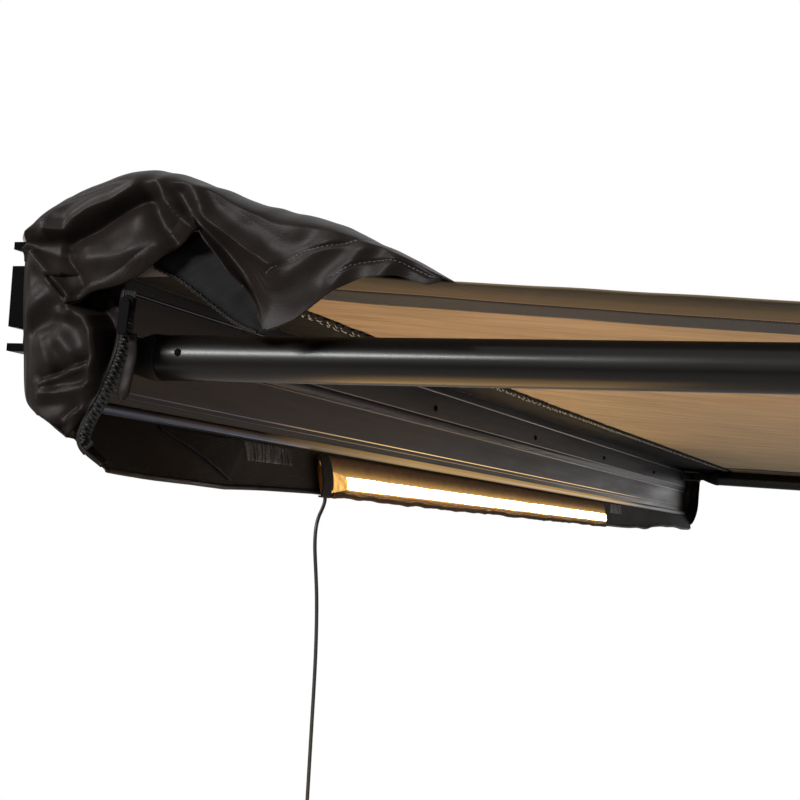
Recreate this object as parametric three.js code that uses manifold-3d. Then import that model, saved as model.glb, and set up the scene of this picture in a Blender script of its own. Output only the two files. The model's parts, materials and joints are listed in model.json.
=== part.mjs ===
// Vehicle side awning, opened out: a backing extrusion that bolts to a roof rack, two swing-out
// telescopic arms, a canopy that runs out to a front rail with two folding legs, and the soft
// bag left unzipped round it, with a light strip in a pouch on its lower flap.
// Millimetres, +Z up. The origin is the middle of the extrusion's rear land, which bolts to the
// rack. +Y points away from the vehicle, and +X runs along the awning to its near end.
import * as THREE from 'three';
import { mergeVertices } from 'three/addons/utils/BufferGeometryUtils.js';
import Module from 'manifold-3d';

const wasm = await Module();
wasm.setup();

// Whole awning
const awningLength = 2500;
const canopyReach = 2030;
const clearance = 0.3;
const cutOverrun = 2;
const roundSteps = 24;
const smallSteps = 16;
const notchSteps = 10;

// Backing extrusion, its section in Y and Z
const plateDepth = 24;
const landHeight = 40;
const slotMouth = 11;
const slotLip = 3;
const slotOverhang = 3;
const slotDepth = 12;
const rearLipHeight = 5;
const chamberWall = 2.5;
const skirtDrop = 34;
const skirtFace = 21;
const skirtWall = 3;
const stepTop = -9;
const stepFoot = -18;
const grooveTop = -51;
const grooveHeight = 5;
const grooveDepth = 1.4;
const lineHeight = 20;
const lineDepth = 1;
const beadRadius = 5;
const weltBore = 3;
const weltMouth = 2.2;
const canopySlotHeight = 31;
const canopySlotDepth = 5;
const lowerBeadInset = 1;
const lowerBeadTurn = -35;
const topChamfer = 3;
const bagSlotInset = 8;

// End caps of the extrusion
const capThickness = 4;
const capPlugLength = 15;

// Swing arms
const armInset = 30;
const armPivotReach = 48;
const nearArmHeight = -35;
const farArmHeight = 13;
const armTube = 30;
const armWall = 1.4;
const armInnerTube = 26;
const armStopRoom = 80;
const armOverlap = 150;
const armRetraction = 800;
const tongueThickness = 13;
const tongueRadius = 9;
const knuckleNeck = 16;
const knuckleRimStart = 44;
const knuckleLength = 49;
const knuckleRim = 31;
const plugLength = 31;
const tubeFit = 0.5;
const pinDiameter = 6;
const pinHead = 12;
const pinHeadHeight = 2.5;
const earThickness = 3;
const earRadius = 11;
const earRoot = 16;
const bracketWidth = 60;
const bracketSheet = 3;
const runningGap = 0.5;

// Twist locks, tips and rail shelf
const collarWall = 3;
const collarLength = 44;
const collarLip = 18;
const collarFlutes = 10;
const fluteDepth = 0.9;
const tipLength = 24;
const tipFace = 22;
const tipPlug = 26;

// Front rail, its section in Y and Z
const railDepth = 44;
const railTop = -14;
const railHeight = 48;
const railWall = 2.2;
const railHemHeight = -9.5;
const railHemInset = 7;
const railCapThickness = 4;
const shelfReach = 18;
const shelfThickness = 2.5;

// Folding legs
const legInset = 35;
const legPivotDrop = 24;
const legTube = 26;
const legWall = 1.3;
const legInnerTube = 22;
const legStopRoom = 50;
const legOverlap = 150;
const legDrop = 1930;
const legRetraction = 780;
const legKnuckle = 46;
const legKnuckleNeck = 14;
const legRimStart = 40;
const footDiameter = 36;
const footHeight = 26;
const footSocket = 22;
const footSole = 8;

// Canopy, its header band and webbings
const canopyInset = 10;
const clothThickness = 1.2;
const headerEnd = 120;
const seamOverlap = 12;
const webbingWidth = 50;
const webbingInset = 79;
const webbingThickness = 1.4;
const nearSag = 32;
const middleSag = 14;
const armRestGap = 4;
const restBlend = 3;
const hemGap = 3;
const settleShare = 7 / 8;

// Bag: its sheet, and how far it stands out and hangs down where it is left open
const bagSheet = 1.6;
const bagOverhang = 12;
const bagHang = 110;
const gussetStandoff = 0.6;
const gussetBulge = 12;
const nearGussetReach = 96;
const farGussetReach = 50;
const gussetRows = 12;

// Front edges of the near and the far gusset from the foot up, as shares of a gusset's reach
// and of the bag's hang
const nearZipShares = [[0.833, -1], [0.63, -0.836], [0.781, -0.527], [0.875, -0.291], [0.896, 0],
  [0.917, 0.4]];
const farEdgeShares = [[0.9, -0.845], [0.96, -0.7], [1, -0.364], [1, 0], [0.92, 0.218],
  [0.76, 0.418]];

// Front edge of the lower flap at the near end, its middle and the far end, as shares of the near
// gusset's reach and of the bag's hang
const lowerFlapNeck = 7.1;
const flapNearShares = [0.833, -1.009];
const flapMiddleShares = [0.328, -0.977];
const flapFarShares = [0.469, -0.864];

// Top flap, thrown over: high by the near gusset, flat on the cloth further in. The lines are
// shares of its reach beyond the slot and of its rise.
const flapReach = 297;
const flapRise = 44;
const flapHighShares = [[0, 0], [0.04, 0.6], [0.17, 1], [0.38, 0.8], [0.56, 0.42], [0.78, -0.02],
  [1, -0.58]];
const flapLowShares = [[0, 0], [0.03, 0.32], [0.12, 0.42], [0.26, 0.16], [0.42, -0.05],
  [0.6, -0.16], [0.78, -0.22]];
const flapFoldLength = 620;
const flapDrop = 80;
const flapDropStart = 105;
const flapDropEnd = 290;
const flapSkirt = 24;
const flapSteps = 22;
const skirtSteps = 5;

// Pouch, light strip and hook tapes on the lower flap
const stripLength = 1185;
const stripInset = 475.5;
const pouchDepth = 9;
const pouchHeight = 39;
const pouchWall = 1.4;
const pouchTop = 4;
const stripHeight = 12;
const stripThickness = 4;
const stripRise = 8;
const tapeLength = 95;
const tapeHeight = 20;
const tapeThickness = 1.6;
const tapeGap = 1;
const strapGap = 1.4;
const nearTapeStandoff = 68;
const farTapeStandoff = 77;
const tapeDrop = 3;
const strapInset = 220;
const strapLength = 120;
const strapHeight = 30;

// Zip on the near gusset's front edge
const zipWidth = 7;
const zipThickness = 2.4;
const zipGap = 0.6;
const zipTurns = 38;
const zipToothShare = 0.12;
const zipStartShare = 0.02;
const zipEndShare = 0.84;
const sliderLength = 13;
const sliderWidth = 8.4;
const sliderOffset = 1.2;
const sliderThickness = 5;
const pullLength = 24;
const pullWidth = 7;
const pullThickness = 1.8;

// Lead of the light strip
const cordDiameter = 3.5;
const cordSides = 8;
const reliefDiameter = 7;
const reliefLength = 18;
const reliefStandoff = 4.5;
const coilTurns = 14;
const coilLayers = 4;
const coilDiameter = 39;
const coilPitch = 4.1;
const coilSteps = 24;
const coilSides = 6;
const tieWidth = 8;
const tieWall = 1.5;
const plugDiameter = 10;
const plugBody = 30;
const plugBarrel = 5.5;
const plugBarrelLength = 10;
const coilTail = 24;

// Colours and finishes, as the photograph shows them
const finish = (color, roughness, metalness) =>
  new THREE.MeshStandardMaterial({ color, roughness, metalness });
const anodised = finish(0x2b2725, 0.42, 0.75);
const armBlack = finish(0x1c1b1b, 0.34, 0.6);
const innerAlloy = finish(0x3a3837, 0.36, 0.8);
const mouldedBlack = finish(0x191919, 0.55, 0);
const steel = finish(0x8c8a86, 0.35, 0.9);
const soleRubber = finish(0x141414, 0.85, 0);
const canopyTan = finish(0xae8f60, 0.8, 0);
const webbingGrey = finish(0x37373a, 0.85, 0);
const bagBlack = finish(0x211f1f, 0.38, 0);
const bagInner = finish(0x282623, 0.75, 0);
const tapeGrey = finish(0x8b8d8f, 0.95, 0);
const pouchBrown = finish(0x6f5630, 0.7, 0);
const stripWhite = finish(0xfff4dc, 0.4, 0);
const zipBlack = finish(0x1a1a1a, 0.5, 0.2);
const cordBlack = finish(0x121212, 0.45, 0);

// Places worked out from the sizes above
const halfLength = awningLength / 2;
const halfLand = landHeight / 2;
const plateTop = halfLand + slotMouth + rearLipHeight;
const beadHeight = -plateTop - skirtDrop + beadRadius;
const lowerBeadY = skirtFace - lowerBeadInset;
const armX = halfLength - armInset;
const tipGap = clearance * 2;
const armReach = canopyReach - armPivotReach - tipGap;
const farLean = Math.atan((farArmHeight - nearArmHeight) / armReach);
const railBase = railTop - railHeight;
const railMiddle = canopyReach + railDepth / 2;
const legX = halfLength - legInset;
const legPivotHeight = railTop - legPivotDrop;
const degrees = Math.PI / 180;
const stripNear = halfLength - stripInset;
const stripFar = stripNear - stripLength;
const nearTapeCentre = stripNear + nearTapeStandoff + tapeLength / 2;
const farTapeCentre = stripFar - farTapeStandoff - tapeLength / 2;
const strapCentre = halfLength - strapInset;
const placed = (lineShares, reach) => lineShares.map(([out, up]) => [out * reach, up * bagHang]);
const zipLineNear = placed(nearZipShares, nearGussetReach);
const farGussetLine = placed(farEdgeShares, farGussetReach);
const [flapEdgeNear, flapEdgeMiddle, flapEdgeFar] = placed(
  [flapNearShares, flapMiddleShares, flapFarShares], nearGussetReach);
const flapRoot = [lowerBeadY + lowerFlapNeck * Math.cos(lowerBeadTurn * degrees),
  beadHeight + lowerFlapNeck * Math.sin(lowerBeadTurn * degrees)];

// A closed geometry with its faces pointing out, whichever way its maker turned them
function outward(geometry) {
  const bare = geometry.clone();
  for (const name of Object.keys(bare.attributes)) {
    if (name !== 'position') bare.deleteAttribute(name);
  }
  const merged = mergeVertices(bare, 1e-4);
  const place = merged.attributes.position;
  const index = merged.index.array;
  const corner = [new THREE.Vector3(), new THREE.Vector3(), new THREE.Vector3()];
  const kept = [];
  let volume = 0;
  for (let i = 0; i < index.length; i += 3) {
    const [a, b, c] = [index[i], index[i + 1], index[i + 2]];
    if (a === b || b === c || c === a) continue;
    corner.forEach((v, k) => v.fromBufferAttribute(place, index[i + k]));
    volume += corner[0].dot(corner[1].clone().cross(corner[2]));
    kept.push(a, b, c);
  }
  if (volume < 0) {
    for (let i = 0; i < kept.length; i += 3) {
      [kept[i], kept[i + 1]] = [kept[i + 1], kept[i]];
    }
  }
  merged.setIndex(kept);
  return merged;
}

function toSolid(geometry) {
  const closed = outward(geometry);
  return new wasm.Manifold(new wasm.Mesh({
    numProp: 3,
    vertProperties: new Float32Array(closed.attributes.position.array),
    triVerts: new Uint32Array(closed.index.array),
  }));
}

function toGeometry(solid) {
  const mesh = solid.getMesh();
  const geometry = new THREE.BufferGeometry();
  geometry.setAttribute('position', new THREE.BufferAttribute(mesh.vertProperties, 3));
  geometry.setIndex(new THREE.BufferAttribute(mesh.triVerts, 1));
  return geometry;
}

// The first geometry with the others joined to it
function join(first, ...others) {
  return toGeometry(others.reduce((sum, g) => sum.add(toSolid(g)), toSolid(first)));
}

// The first geometry with the others cut out of it
function cut(first, ...others) {
  return toGeometry(others.reduce((sum, g) => sum.subtract(toSolid(g)), toSolid(first)));
}

const shapeOf = (points) => new THREE.Shape(points.map(([a, b]) => new THREE.Vector2(a, b)));

function extrude(outline, depth, holes = []) {
  const shape = shapeOf(outline);
  shape.holes = holes.map(shapeOf);
  return new THREE.ExtrudeGeometry(shape, { depth, bevelEnabled: false, curveSegments: 1 });
}

// Prisms of an outline in (Y, Z), (Z, X) and (X, Y), along the axis that is left
function prismX(outline, start, end, holes) {
  const turn = new THREE.Matrix4().makeBasis(
    new THREE.Vector3(0, 1, 0), new THREE.Vector3(0, 0, 1), new THREE.Vector3(1, 0, 0));
  return extrude(outline, end - start, holes).applyMatrix4(turn).translate(start, 0, 0);
}

function prismY(outline, start, end, holes) {
  const turn = new THREE.Matrix4().makeBasis(
    new THREE.Vector3(0, 0, 1), new THREE.Vector3(1, 0, 0), new THREE.Vector3(0, 1, 0));
  return extrude(outline, end - start, holes).applyMatrix4(turn).translate(0, start, 0);
}

function prismZ(outline, start, end, holes) {
  return extrude(outline, end - start, holes).translate(0, 0, start);
}

const rectangle = (a0, a1, b0, b1) => [[a0, b0], [a1, b0], [a1, b1], [a0, b1]];

function circle(radius, steps = roundSteps, a = 0, b = 0) {
  const points = [];
  for (let i = 0; i < steps; i += 1) {
    const angle = (i / steps) * 2 * Math.PI;
    points.push([a + radius * Math.cos(angle), b + radius * Math.sin(angle)]);
  }
  return points;
}

function box(x0, x1, y0, y1, z0, z1) {
  return prismZ(rectangle(x0, x1, y0, y1), z0, z1);
}

// A turned piece along +Y from (radius, distance) pairs that start and end on the axis
function turned(profile, steps = roundSteps) {
  return new THREE.LatheGeometry(profile.map(([r, y]) => new THREE.Vector2(r, y)), steps);
}

// A turned piece with a bore, whose profile closes on itself
const turnedRing = (profile, steps) => turned([...profile, profile[0]], steps);

function arc(a, b, radius, from, to, steps) {
  const points = [];
  for (let i = 0; i <= steps; i += 1) {
    const angle = (from + ((to - from) * i) / steps) * degrees;
    points.push([a + radius * Math.cos(angle), b + radius * Math.sin(angle)]);
  }
  return points;
}

// The welt bore of a slot, walked from one edge of its mouth round to the other
function weltNotch(a, b, facing) {
  const half = Math.asin(weltMouth / 2 / weltBore) / degrees;
  return arc(a, b, weltBore, facing - half, facing + half - 360, notchSteps);
}

// A round bead with a welt bore, from one foot of the bead to the other
function weltBead(a, b, facing, from, to) {
  const half = Math.asin(weltMouth / 2 / beadRadius) / degrees;
  return [
    ...arc(a, b, beadRadius, from, facing - half, notchSteps),
    ...weltNotch(a, b, facing),
    ...arc(a, b, beadRadius, facing + half, to, notchSteps),
  ];
}

// Section of the backing extrusion: two bolt slots behind, a welt slot for the canopy in front
// and one each for the bag's top and bottom edges
function plateSection() {
  const mouthHalf = weltMouth / 2;
  const slotIn = halfLand - slotOverhang;
  const slotOut = halfLand + slotMouth + slotOverhang;
  const rearFoot = 180 - Math.acos((lowerBeadY - skirtFace + skirtWall) / beadRadius) / degrees;
  const frontFoot = Math.acos(lowerBeadInset / beadRadius) / degrees;
  const topBead = plateTop + beadRadius - lowerBeadInset;
  const topFoot = Math.asin((beadRadius - lowerBeadInset) / beadRadius) / degrees;
  return [
    ...weltBead(lowerBeadY, beadHeight, 360 + lowerBeadTurn, rearFoot, 360 + frontFoot),
    [skirtFace, grooveTop - grooveHeight],
    [skirtFace - grooveDepth, grooveTop - grooveHeight],
    [skirtFace - grooveDepth, grooveTop],
    [skirtFace, grooveTop],
    [skirtFace, stepFoot],
    [plateDepth, stepTop],
    [plateDepth, lineHeight - lineDepth],
    [plateDepth - lineDepth, lineHeight],
    [plateDepth, lineHeight + lineDepth],
    [plateDepth, canopySlotHeight - mouthHalf],
    ...weltNotch(plateDepth - canopySlotDepth, canopySlotHeight, 0),
    [plateDepth, canopySlotHeight + mouthHalf],
    [plateDepth, plateTop - topChamfer],
    [plateDepth - topChamfer, plateTop],
    ...weltBead(bagSlotInset, topBead, 90, -topFoot, 180 + topFoot),
    [0, plateTop],
    ...boltSlot(halfLand + slotMouth, slotOut, slotIn, halfLand),
    ...boltSlot(-halfLand, -slotIn, -slotOut, -halfLand - slotMouth),
    [0, -plateTop],
    [skirtFace - skirtWall, -plateTop],
  ];
}

// One bolt slot, walked downwards: mouth edge, behind one lip, floor, behind the other lip
function boltSlot(mouthTop, headTop, headFoot, mouthFoot) {
  return [
    [0, mouthTop], [slotLip, mouthTop], [slotLip, headTop], [slotDepth, headTop],
    [slotDepth, headFoot], [slotLip, headFoot], [slotLip, mouthFoot], [0, mouthFoot],
  ];
}

function chamber(shrink) {
  const half = halfLand - slotOverhang - chamberWall - shrink;
  return rectangle(chamberWall + shrink, plateDepth - chamberWall - shrink, -half, half);
}

const backingExtrusion = () =>
  prismX(plateSection(), -halfLength, halfLength, [chamber(0)]);

// End cap in the extrusion's own outline, without its beads' bores, plugged into its chamber
function endCap(side) {
  const start = halfLength + clearance;
  const outline = [
    [skirtFace - skirtWall, beadHeight], [skirtFace, beadHeight], [skirtFace, stepFoot],
    [plateDepth, stepTop], [plateDepth, plateTop - topChamfer],
    [plateDepth - topChamfer, plateTop], [0, plateTop],
    ...boltSlot(halfLand + slotMouth, halfLand + slotMouth, halfLand, halfLand),
    ...boltSlot(-halfLand, -halfLand, -halfLand - slotMouth, -halfLand - slotMouth),
    [0, -plateTop], [skirtFace - skirtWall, -plateTop],
  ].filter(([y, z], i, all) => i === 0 || y !== all[i - 1][0] || z !== all[i - 1][1]);
  const plate = prismX(outline, start, start + capThickness);
  const plug = prismX(chamber(clearance), halfLength - capPlugLength, start + cutOverrun);
  const cap = join(plate, plug);
  return side > 0 ? cap : mirrored(cap);
}

function mirrored(geometry) {
  return outward(geometry.clone().scale(-1, 1, 1));
}

// Hinge bracket round an arm's pivot, whose front is at the origin: a sheet bolted to the
// extrusion and two ears
function armBracket(face) {
  const gapHalf = tongueThickness / 2 + runningGap;
  const top = gapHalf + earThickness;
  const back = face + clearance - armPivotReach;
  const base = box(-bracketWidth / 2, bracketWidth / 2, back, back + bracketSheet, -top, top);
  const ear = [
    [-earRoot, back + bracketSheet / 2], [earRoot, back + bracketSheet / 2],
    ...arc(0, 0, earRadius, 0, 180, smallSteps),
  ];
  const hole = circle(pinDiameter / 2 + clearance, smallSteps);
  const upper = prismZ(ear, gapHalf, top, [hole]);
  const lower = prismZ(ear, -top, -gapHalf, [hole]);
  return join(base, upper, lower);
}

// A headed pin along +Y through something of the given width
function headedPin(width, steps = smallSteps) {
  const half = width / 2 + clearance;
  const shaft = pinDiameter / 2;
  const head = pinHead / 2;
  return turned([
    [0, -half - pinHeadHeight], [head, -half - pinHeadHeight], [head, -half], [shaft, -half],
    [shaft, half], [head, half], [head, half + pinHeadHeight], [0, half + pinHeadHeight],
  ], steps);
}

const hingePin = () =>
  headedPin(tongueThickness + 2 * (runningGap + earThickness)).rotateX(Math.PI / 2);

// Moulded knuckle: a flat tongue on the pin that flares to the tube's size, and a plug
function armKnuckle() {
  const bore = armTube / 2 - armWall;
  const rim = knuckleRim / 2;
  const neck = tongueThickness / 2;
  const flare = turned([
    [0, knuckleNeck - cutOverrun], [neck, knuckleNeck - cutOverrun], [neck, knuckleNeck],
    [(neck + rim) / 2, (knuckleNeck + knuckleRimStart) / 2 - cutOverrun],
    [rim - clearance, knuckleRimStart - cutOverrun], [rim, knuckleRimStart],
    [rim, knuckleLength], [bore - tubeFit, knuckleLength],
    [bore - tubeFit, knuckleLength + plugLength], [0, knuckleLength + plugLength],
  ]);
  const tongue = [
    ...arc(0, 0, tongueRadius, 180, 360, smallSteps),
    [tongueRadius, knuckleNeck + cutOverrun * 2], [-tongueRadius, knuckleNeck + cutOverrun * 2],
  ];
  const hole = circle(pinDiameter / 2 + clearance, smallSteps);
  const blade = prismZ(tongue, -tongueThickness / 2, tongueThickness / 2, [hole]);
  return join(flare, blade);
}

function tube(outer, wall, from, to) {
  return turnedRing([
    [outer / 2 - wall, from], [outer / 2, from], [outer / 2, to], [outer / 2 - wall, to],
  ]);
}

const armOuterStart = knuckleLength + clearance;
const armOuterEnd = knuckleLength + plugLength + armRetraction + armStopRoom + armOverlap;
const armInnerEnd = armReach - tipLength;

const armOuter = () => tube(armTube, armWall, armOuterStart, armOuterEnd);
const armInner = () => tube(armInnerTube, armWall, armOuterEnd - armOverlap, armInnerEnd);

// Fluted twist lock round the mouth of an outer tube, with a lip down on the inner tube
function twistLock(outer, inner, mouth) {
  const radius = outer / 2 + collarWall;
  const grip = [];
  for (let i = 0; i < collarFlutes * 4; i += 1) {
    const angle = (i / (collarFlutes * 4)) * 2 * Math.PI;
    const r = radius - (i % 4 === 0 ? fluteDepth : 0);
    grip.push([r * Math.cos(angle), r * Math.sin(angle)]);
  }
  const start = mouth - collarLength + collarLip;
  const body = prismY(grip, start, mouth + collarLip, [circle(inner / 2 + clearance)]);
  const seat = turned([
    [0, start - cutOverrun], [outer / 2 + clearance, start - cutOverrun],
    [outer / 2 + clearance, mouth + clearance], [0, mouth + clearance],
  ]);
  return cut(body, seat);
}

// Tip that presses on the rail: a plug in the inner tube, a flange and a tapered nose
function armTip() {
  const bore = armInnerTube / 2 - armWall;
  const start = armInnerEnd + clearance;
  return turned([
    [0, start - tipPlug], [bore - clearance, start - tipPlug], [bore - clearance, start],
    [armTube / 2, start], [armTube / 2, start + tipLength / 2],
    [tipFace / 2, armReach], [0, armReach],
  ]);
}

// Section of the front rail, its rear face at Y 0: a channel open below for the folded legs,
// a welt slot on top for the canopy and a shelf behind for the arms' tips
function railSection() {
  const lean = lowerBeadInset / beadRadius;
  const foot = Math.asin(1 - lean) / degrees;
  const shelfTop = nearArmHeight - armTube / 2 - clearance;
  return [
    [0, railBase], [railWall, railBase], [railWall, railTop - railWall],
    [railDepth - railWall, railTop - railWall], [railDepth - railWall, railBase],
    [railDepth, railBase], [railDepth, railTop - topChamfer], [railDepth - topChamfer, railTop],
    ...weltBead(railHemInset, railHemHeight, 180, -foot, 180 + foot),
    [0, railTop], [0, shelfTop], [-shelfReach, shelfTop],
    [-shelfReach, shelfTop - shelfThickness], [0, shelfTop - shelfThickness],
  ];
}

function frontRail() {
  const rail = prismX(railSection(), -halfLength, halfLength);
  const holes = [-legX, legX].map((x) => prismY(
    circle(pinDiameter / 2 + clearance, smallSteps, legPivotHeight, x),
    -cutOverrun, railDepth + cutOverrun));
  return cut(rail, ...holes).translate(0, canopyReach, 0);
}

// End cap of the rail, with a plug inside the channel's top corner
function railCap(side) {
  const start = halfLength + clearance;
  const outline = [
    [0, railBase], [railDepth, railBase], [railDepth, railTop - topChamfer],
    [railDepth - topChamfer, railTop], [0, railTop],
  ];
  const inner = railWall + clearance;
  const plug = box(halfLength - capPlugLength / 2, start + cutOverrun, inner,
    railDepth - inner, railBase, railTop - inner);
  const cap = join(prismX(outline, start, start + railCapThickness), plug)
    .translate(0, canopyReach, 0);
  return side > 0 ? cap : mirrored(cap);
}

// Pin with one head on the rail's front, its other end flush with the rear face
function legPin() {
  const shaft = pinDiameter / 2;
  const front = railDepth / 2 + clearance;
  return turned([
    [0, clearance - railDepth / 2], [shaft, clearance - railDepth / 2], [shaft, front],
    [pinHead / 2, front], [pinHead / 2, front + pinHeadHeight], [0, front + pinHeadHeight],
  ], smallSteps);
}

// Leg head on its pin, widened to the channel, with a plug in the leg's outer tube.
// Legs are built along +Y from their pivot and then turned to hang down.
function legHead() {
  const bore = legTube / 2 - legWall;
  const rim = legTube / 2 + clearance;
  const cheek = railDepth / 2 - railWall - runningGap;
  const shank = turned([
    [0, 0], [rim, 0], [rim, legRimStart], [rim, legKnuckle], [bore - tubeFit, legKnuckle],
    [bore - tubeFit, legKnuckle + plugLength], [0, legKnuckle + plugLength],
  ]);
  const barrel = prismZ(circle(legKnuckleNeck), -cheek, cheek);
  const hole = prismZ(circle(pinDiameter / 2 + clearance, smallSteps),
    -cheek - cutOverrun, cheek + cutOverrun);
  return cut(join(shank, barrel), hole);
}

const legOuterStart = legKnuckle + clearance;
const legOuterEnd = legKnuckle + plugLength + legRetraction + legStopRoom + legOverlap;
const legInnerEnd = legDrop - footSole;

const legOuter = () => tube(legTube, legWall, legOuterStart, legOuterEnd);
const legInner = () => tube(legInnerTube, legWall, legOuterEnd - legOverlap, legInnerEnd);

// Rubber foot: a boot over the end of the inner tube with a flat, ribbed sole
function legFoot() {
  const fit = legInnerTube / 2 + clearance;
  const floor = legInnerEnd + clearance;
  const ankle = fit + collarWall;
  return turnedRing([
    [0, floor], [fit, floor], [fit, legInnerEnd - footSocket],
    [ankle, legInnerEnd - footSocket], [ankle, legDrop - footHeight],
    [footDiameter / 2, legDrop - footSole / 2], [footDiameter / 2, legDrop], [0, legDrop],
  ]);
}

const shares = (steps) => Array.from({ length: steps + 1 }, (_, i) => i / steps);

// A closed sheet over a grid of stations: the surface at (u, v) and its other side, pushed off
function sheet(us, vs, surface, push) {
  const uSteps = us.length - 1;
  const vSteps = vs.length - 1;
  const points = [];
  for (let side = 0; side < 2; side += 1) {
    for (const u of us) {
      for (const v of vs) {
        const [x, y, z] = surface(u, v);
        points.push(x + push[0] * side, y + push[1] * side, z + push[2] * side);
      }
    }
  }
  const row = vSteps + 1;
  const back = row * (uSteps + 1);
  const at = (i, j) => i * row + j;
  const faces = [];
  const quad = (a, b, c, d) => faces.push(a, b, c, a, c, d);
  for (let i = 0; i < uSteps; i += 1) {
    for (let j = 0; j < vSteps; j += 1) {
      quad(at(i, j), at(i + 1, j), at(i + 1, j + 1), at(i, j + 1));
      quad(back + at(i, j), back + at(i, j + 1), back + at(i + 1, j + 1), back + at(i + 1, j));
    }
    quad(at(i, 0), back + at(i, 0), back + at(i + 1, 0), at(i + 1, 0));
    quad(at(i, vSteps), at(i + 1, vSteps), back + at(i + 1, vSteps), back + at(i, vSteps));
  }
  for (let j = 0; j < vSteps; j += 1) {
    quad(at(0, j), at(0, j + 1), back + at(0, j + 1), back + at(0, j));
    quad(at(uSteps, j), back + at(uSteps, j), back + at(uSteps, j + 1), at(uSteps, j + 1));
  }
  const geometry = new THREE.BufferGeometry();
  geometry.setAttribute('position', new THREE.Float32BufferAttribute(points, 3));
  geometry.setIndex(faces);
  return outward(geometry);
}

const mix = (a, b, t) => a + (b - a) * t;
const ramp = (t) => THREE.MathUtils.smoothstep(t, 0, 1);

// Height of the cloth's underside from the plate's slot to the rail's, at (x, y). The near
// edge sags until it lies over the near arm; the far edge is held up by the far arm.
function clothHeight(x, y) {
  const along = (y - plateDepth) / (canopyReach - plateDepth);
  const across = x / awningLength + 1 / 2;
  const straight = mix(canopySlotHeight, railHemHeight, along) - clothThickness / 2;
  const hang = 4 * along * (1 - along);
  const rest = nearArmHeight + armTube / 2 + armRestGap;
  const free = straight - nearSag * hang;
  const lift = free - rest;
  const near = rest + (lift + Math.sqrt(lift * lift + restBlend * restBlend)) / 2;
  const settled = mix(near, straight, ramp((along - settleShare) / (1 - settleShare)));
  const belly = middleSag * hang * Math.sin(Math.PI * across);
  return mix(straight, settled, ramp(across)) - belly;
}

// Stations across and along the cloth, shared by all that is sewn to it
const clothHalf = halfLength - canopyInset;
const webbingOuter = halfLength - webbingInset;
const webbingInner = webbingOuter - webbingWidth;
const clothEnd = canopyReach - hemGap;
const acrossCloth = [-clothHalf, -webbingOuter,
  ...shares(10).map((t) => mix(-webbingInner, webbingInner, t)), webbingOuter, clothHalf];
const alongCloth = [headerEnd - seamOverlap,
  ...shares(17).map((t) => mix(headerEnd + clearance, clothEnd, t))];
const seamLift = clothThickness + clearance * 2;

// A band of cloth over X and Y stations, lifted above the cloth's own height
function clothBand(xs, ys, lift, thickness) {
  return sheet(xs, ys, (x, y) => [x, y, clothHeight(x, y) + lift], [0, 0, thickness]);
}

// A welt along X with the neck of its sheet, turned by `facing` about the slot's bore
function welt(y, z, facing, neck, thickness) {
  const half = thickness / 2;
  const rod = prismX(circle(weltBore - clearance, smallSteps), -halfLength, halfLength);
  const stem = prismX(rectangle(0, neck, -half, half), -halfLength, halfLength);
  return join(rod, stem).rotateX(facing * degrees).translate(0, y, z);
}

function canopyHeader() {
  const slotY = plateDepth - canopySlotDepth;
  const ys = shares(4).map((t) => mix(plateDepth + clearance, headerEnd, t));
  const neck = canopySlotDepth + clearance * 2;
  return join(clothBand(acrossCloth, ys, 0, clothThickness),
    welt(slotY, canopySlotHeight, 0, neck, clothThickness));
}

const canopyCloth = () => clothBand(acrossCloth, alongCloth, seamLift, clothThickness);

// Webbing sewn under the canopy, inside the golden strip at each end
function canopyWebbing(side) {
  const across = side > 0 ? [webbingInner, webbingOuter] : [-webbingOuter, -webbingInner];
  return clothBand(across, alongCloth.slice(1), seamLift - webbingThickness - clearance,
    webbingThickness);
}

// A smooth line through hand-set (Y, Z) points
function smoothLine(points) {
  return new THREE.CatmullRomCurve3(points.map(([y, z]) => new THREE.Vector3(0, y, z)));
}

function topFlap() {
  const startY = bagSlotInset;
  const startZ = plateTop + 2 * beadRadius + clearance - lowerBeadInset;
  const toLine = (shares) => smoothLine(shares.map(([a, b]) => [
    startY + a * flapReach, startZ + b * flapRise]));
  const high = toLine(flapHighShares);
  const low = toLine(flapLowShares);
  const edge = halfLength + bagOverhang;
  const inner = edge - flapSkirt;
  const skirtShare = skirtSteps / flapSteps;
  const flap = sheet(shares(flapSteps), shares(12), (u, v) => {
    const onSkirt = Math.max(0, (u - 1 + skirtShare) / skirtShare);
    const x = onSkirt > 0
      ? mix(inner, edge, Math.sin(onSkirt * Math.PI / 2))
      : mix(-edge, inner, u / (1 - skirtShare));
    const throwUp = ramp((x - inner + flapFoldLength) / flapFoldLength);
    const a = high.getPoint(v);
    const b = low.getPoint(v);
    const y = mix(b.y, a.y, throwUp);
    const z = mix(b.z, a.z, throwUp);
    const across = (y - flapDropStart) / (flapDropEnd - flapDropStart);
    const fall = across > 0 && across < 1 ? Math.sin(Math.PI * across) : 0;
    return [x, y, z - flapDrop * fall * onSkirt * onSkirt];
  }, [0, 0, bagSheet]);
  const slotZ = startZ - clearance - beadRadius;
  return join(flap, welt(startY, slotZ, 90, startZ - slotZ + bagSheet / 2, bagSheet));
}

// A place on the lower flap, which stands out most by the near gusset
function lowerFlapPoint(x, v) {
  const toNear = ramp((x - nearTapeCentre) / (halfLength - nearTapeCentre));
  const toFar = ramp((farTapeCentre - x) / (halfLength + farTapeCentre));
  const edge = [0, 1].map((k) => mix(
    mix(flapEdgeMiddle[k], flapEdgeNear[k], toNear), flapEdgeFar[k], toFar));
  return [x, mix(flapRoot[0], edge[0], v), mix(flapRoot[1], edge[1], v)];
}

const flapBehind = [0, -bagSheet, 0];

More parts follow.
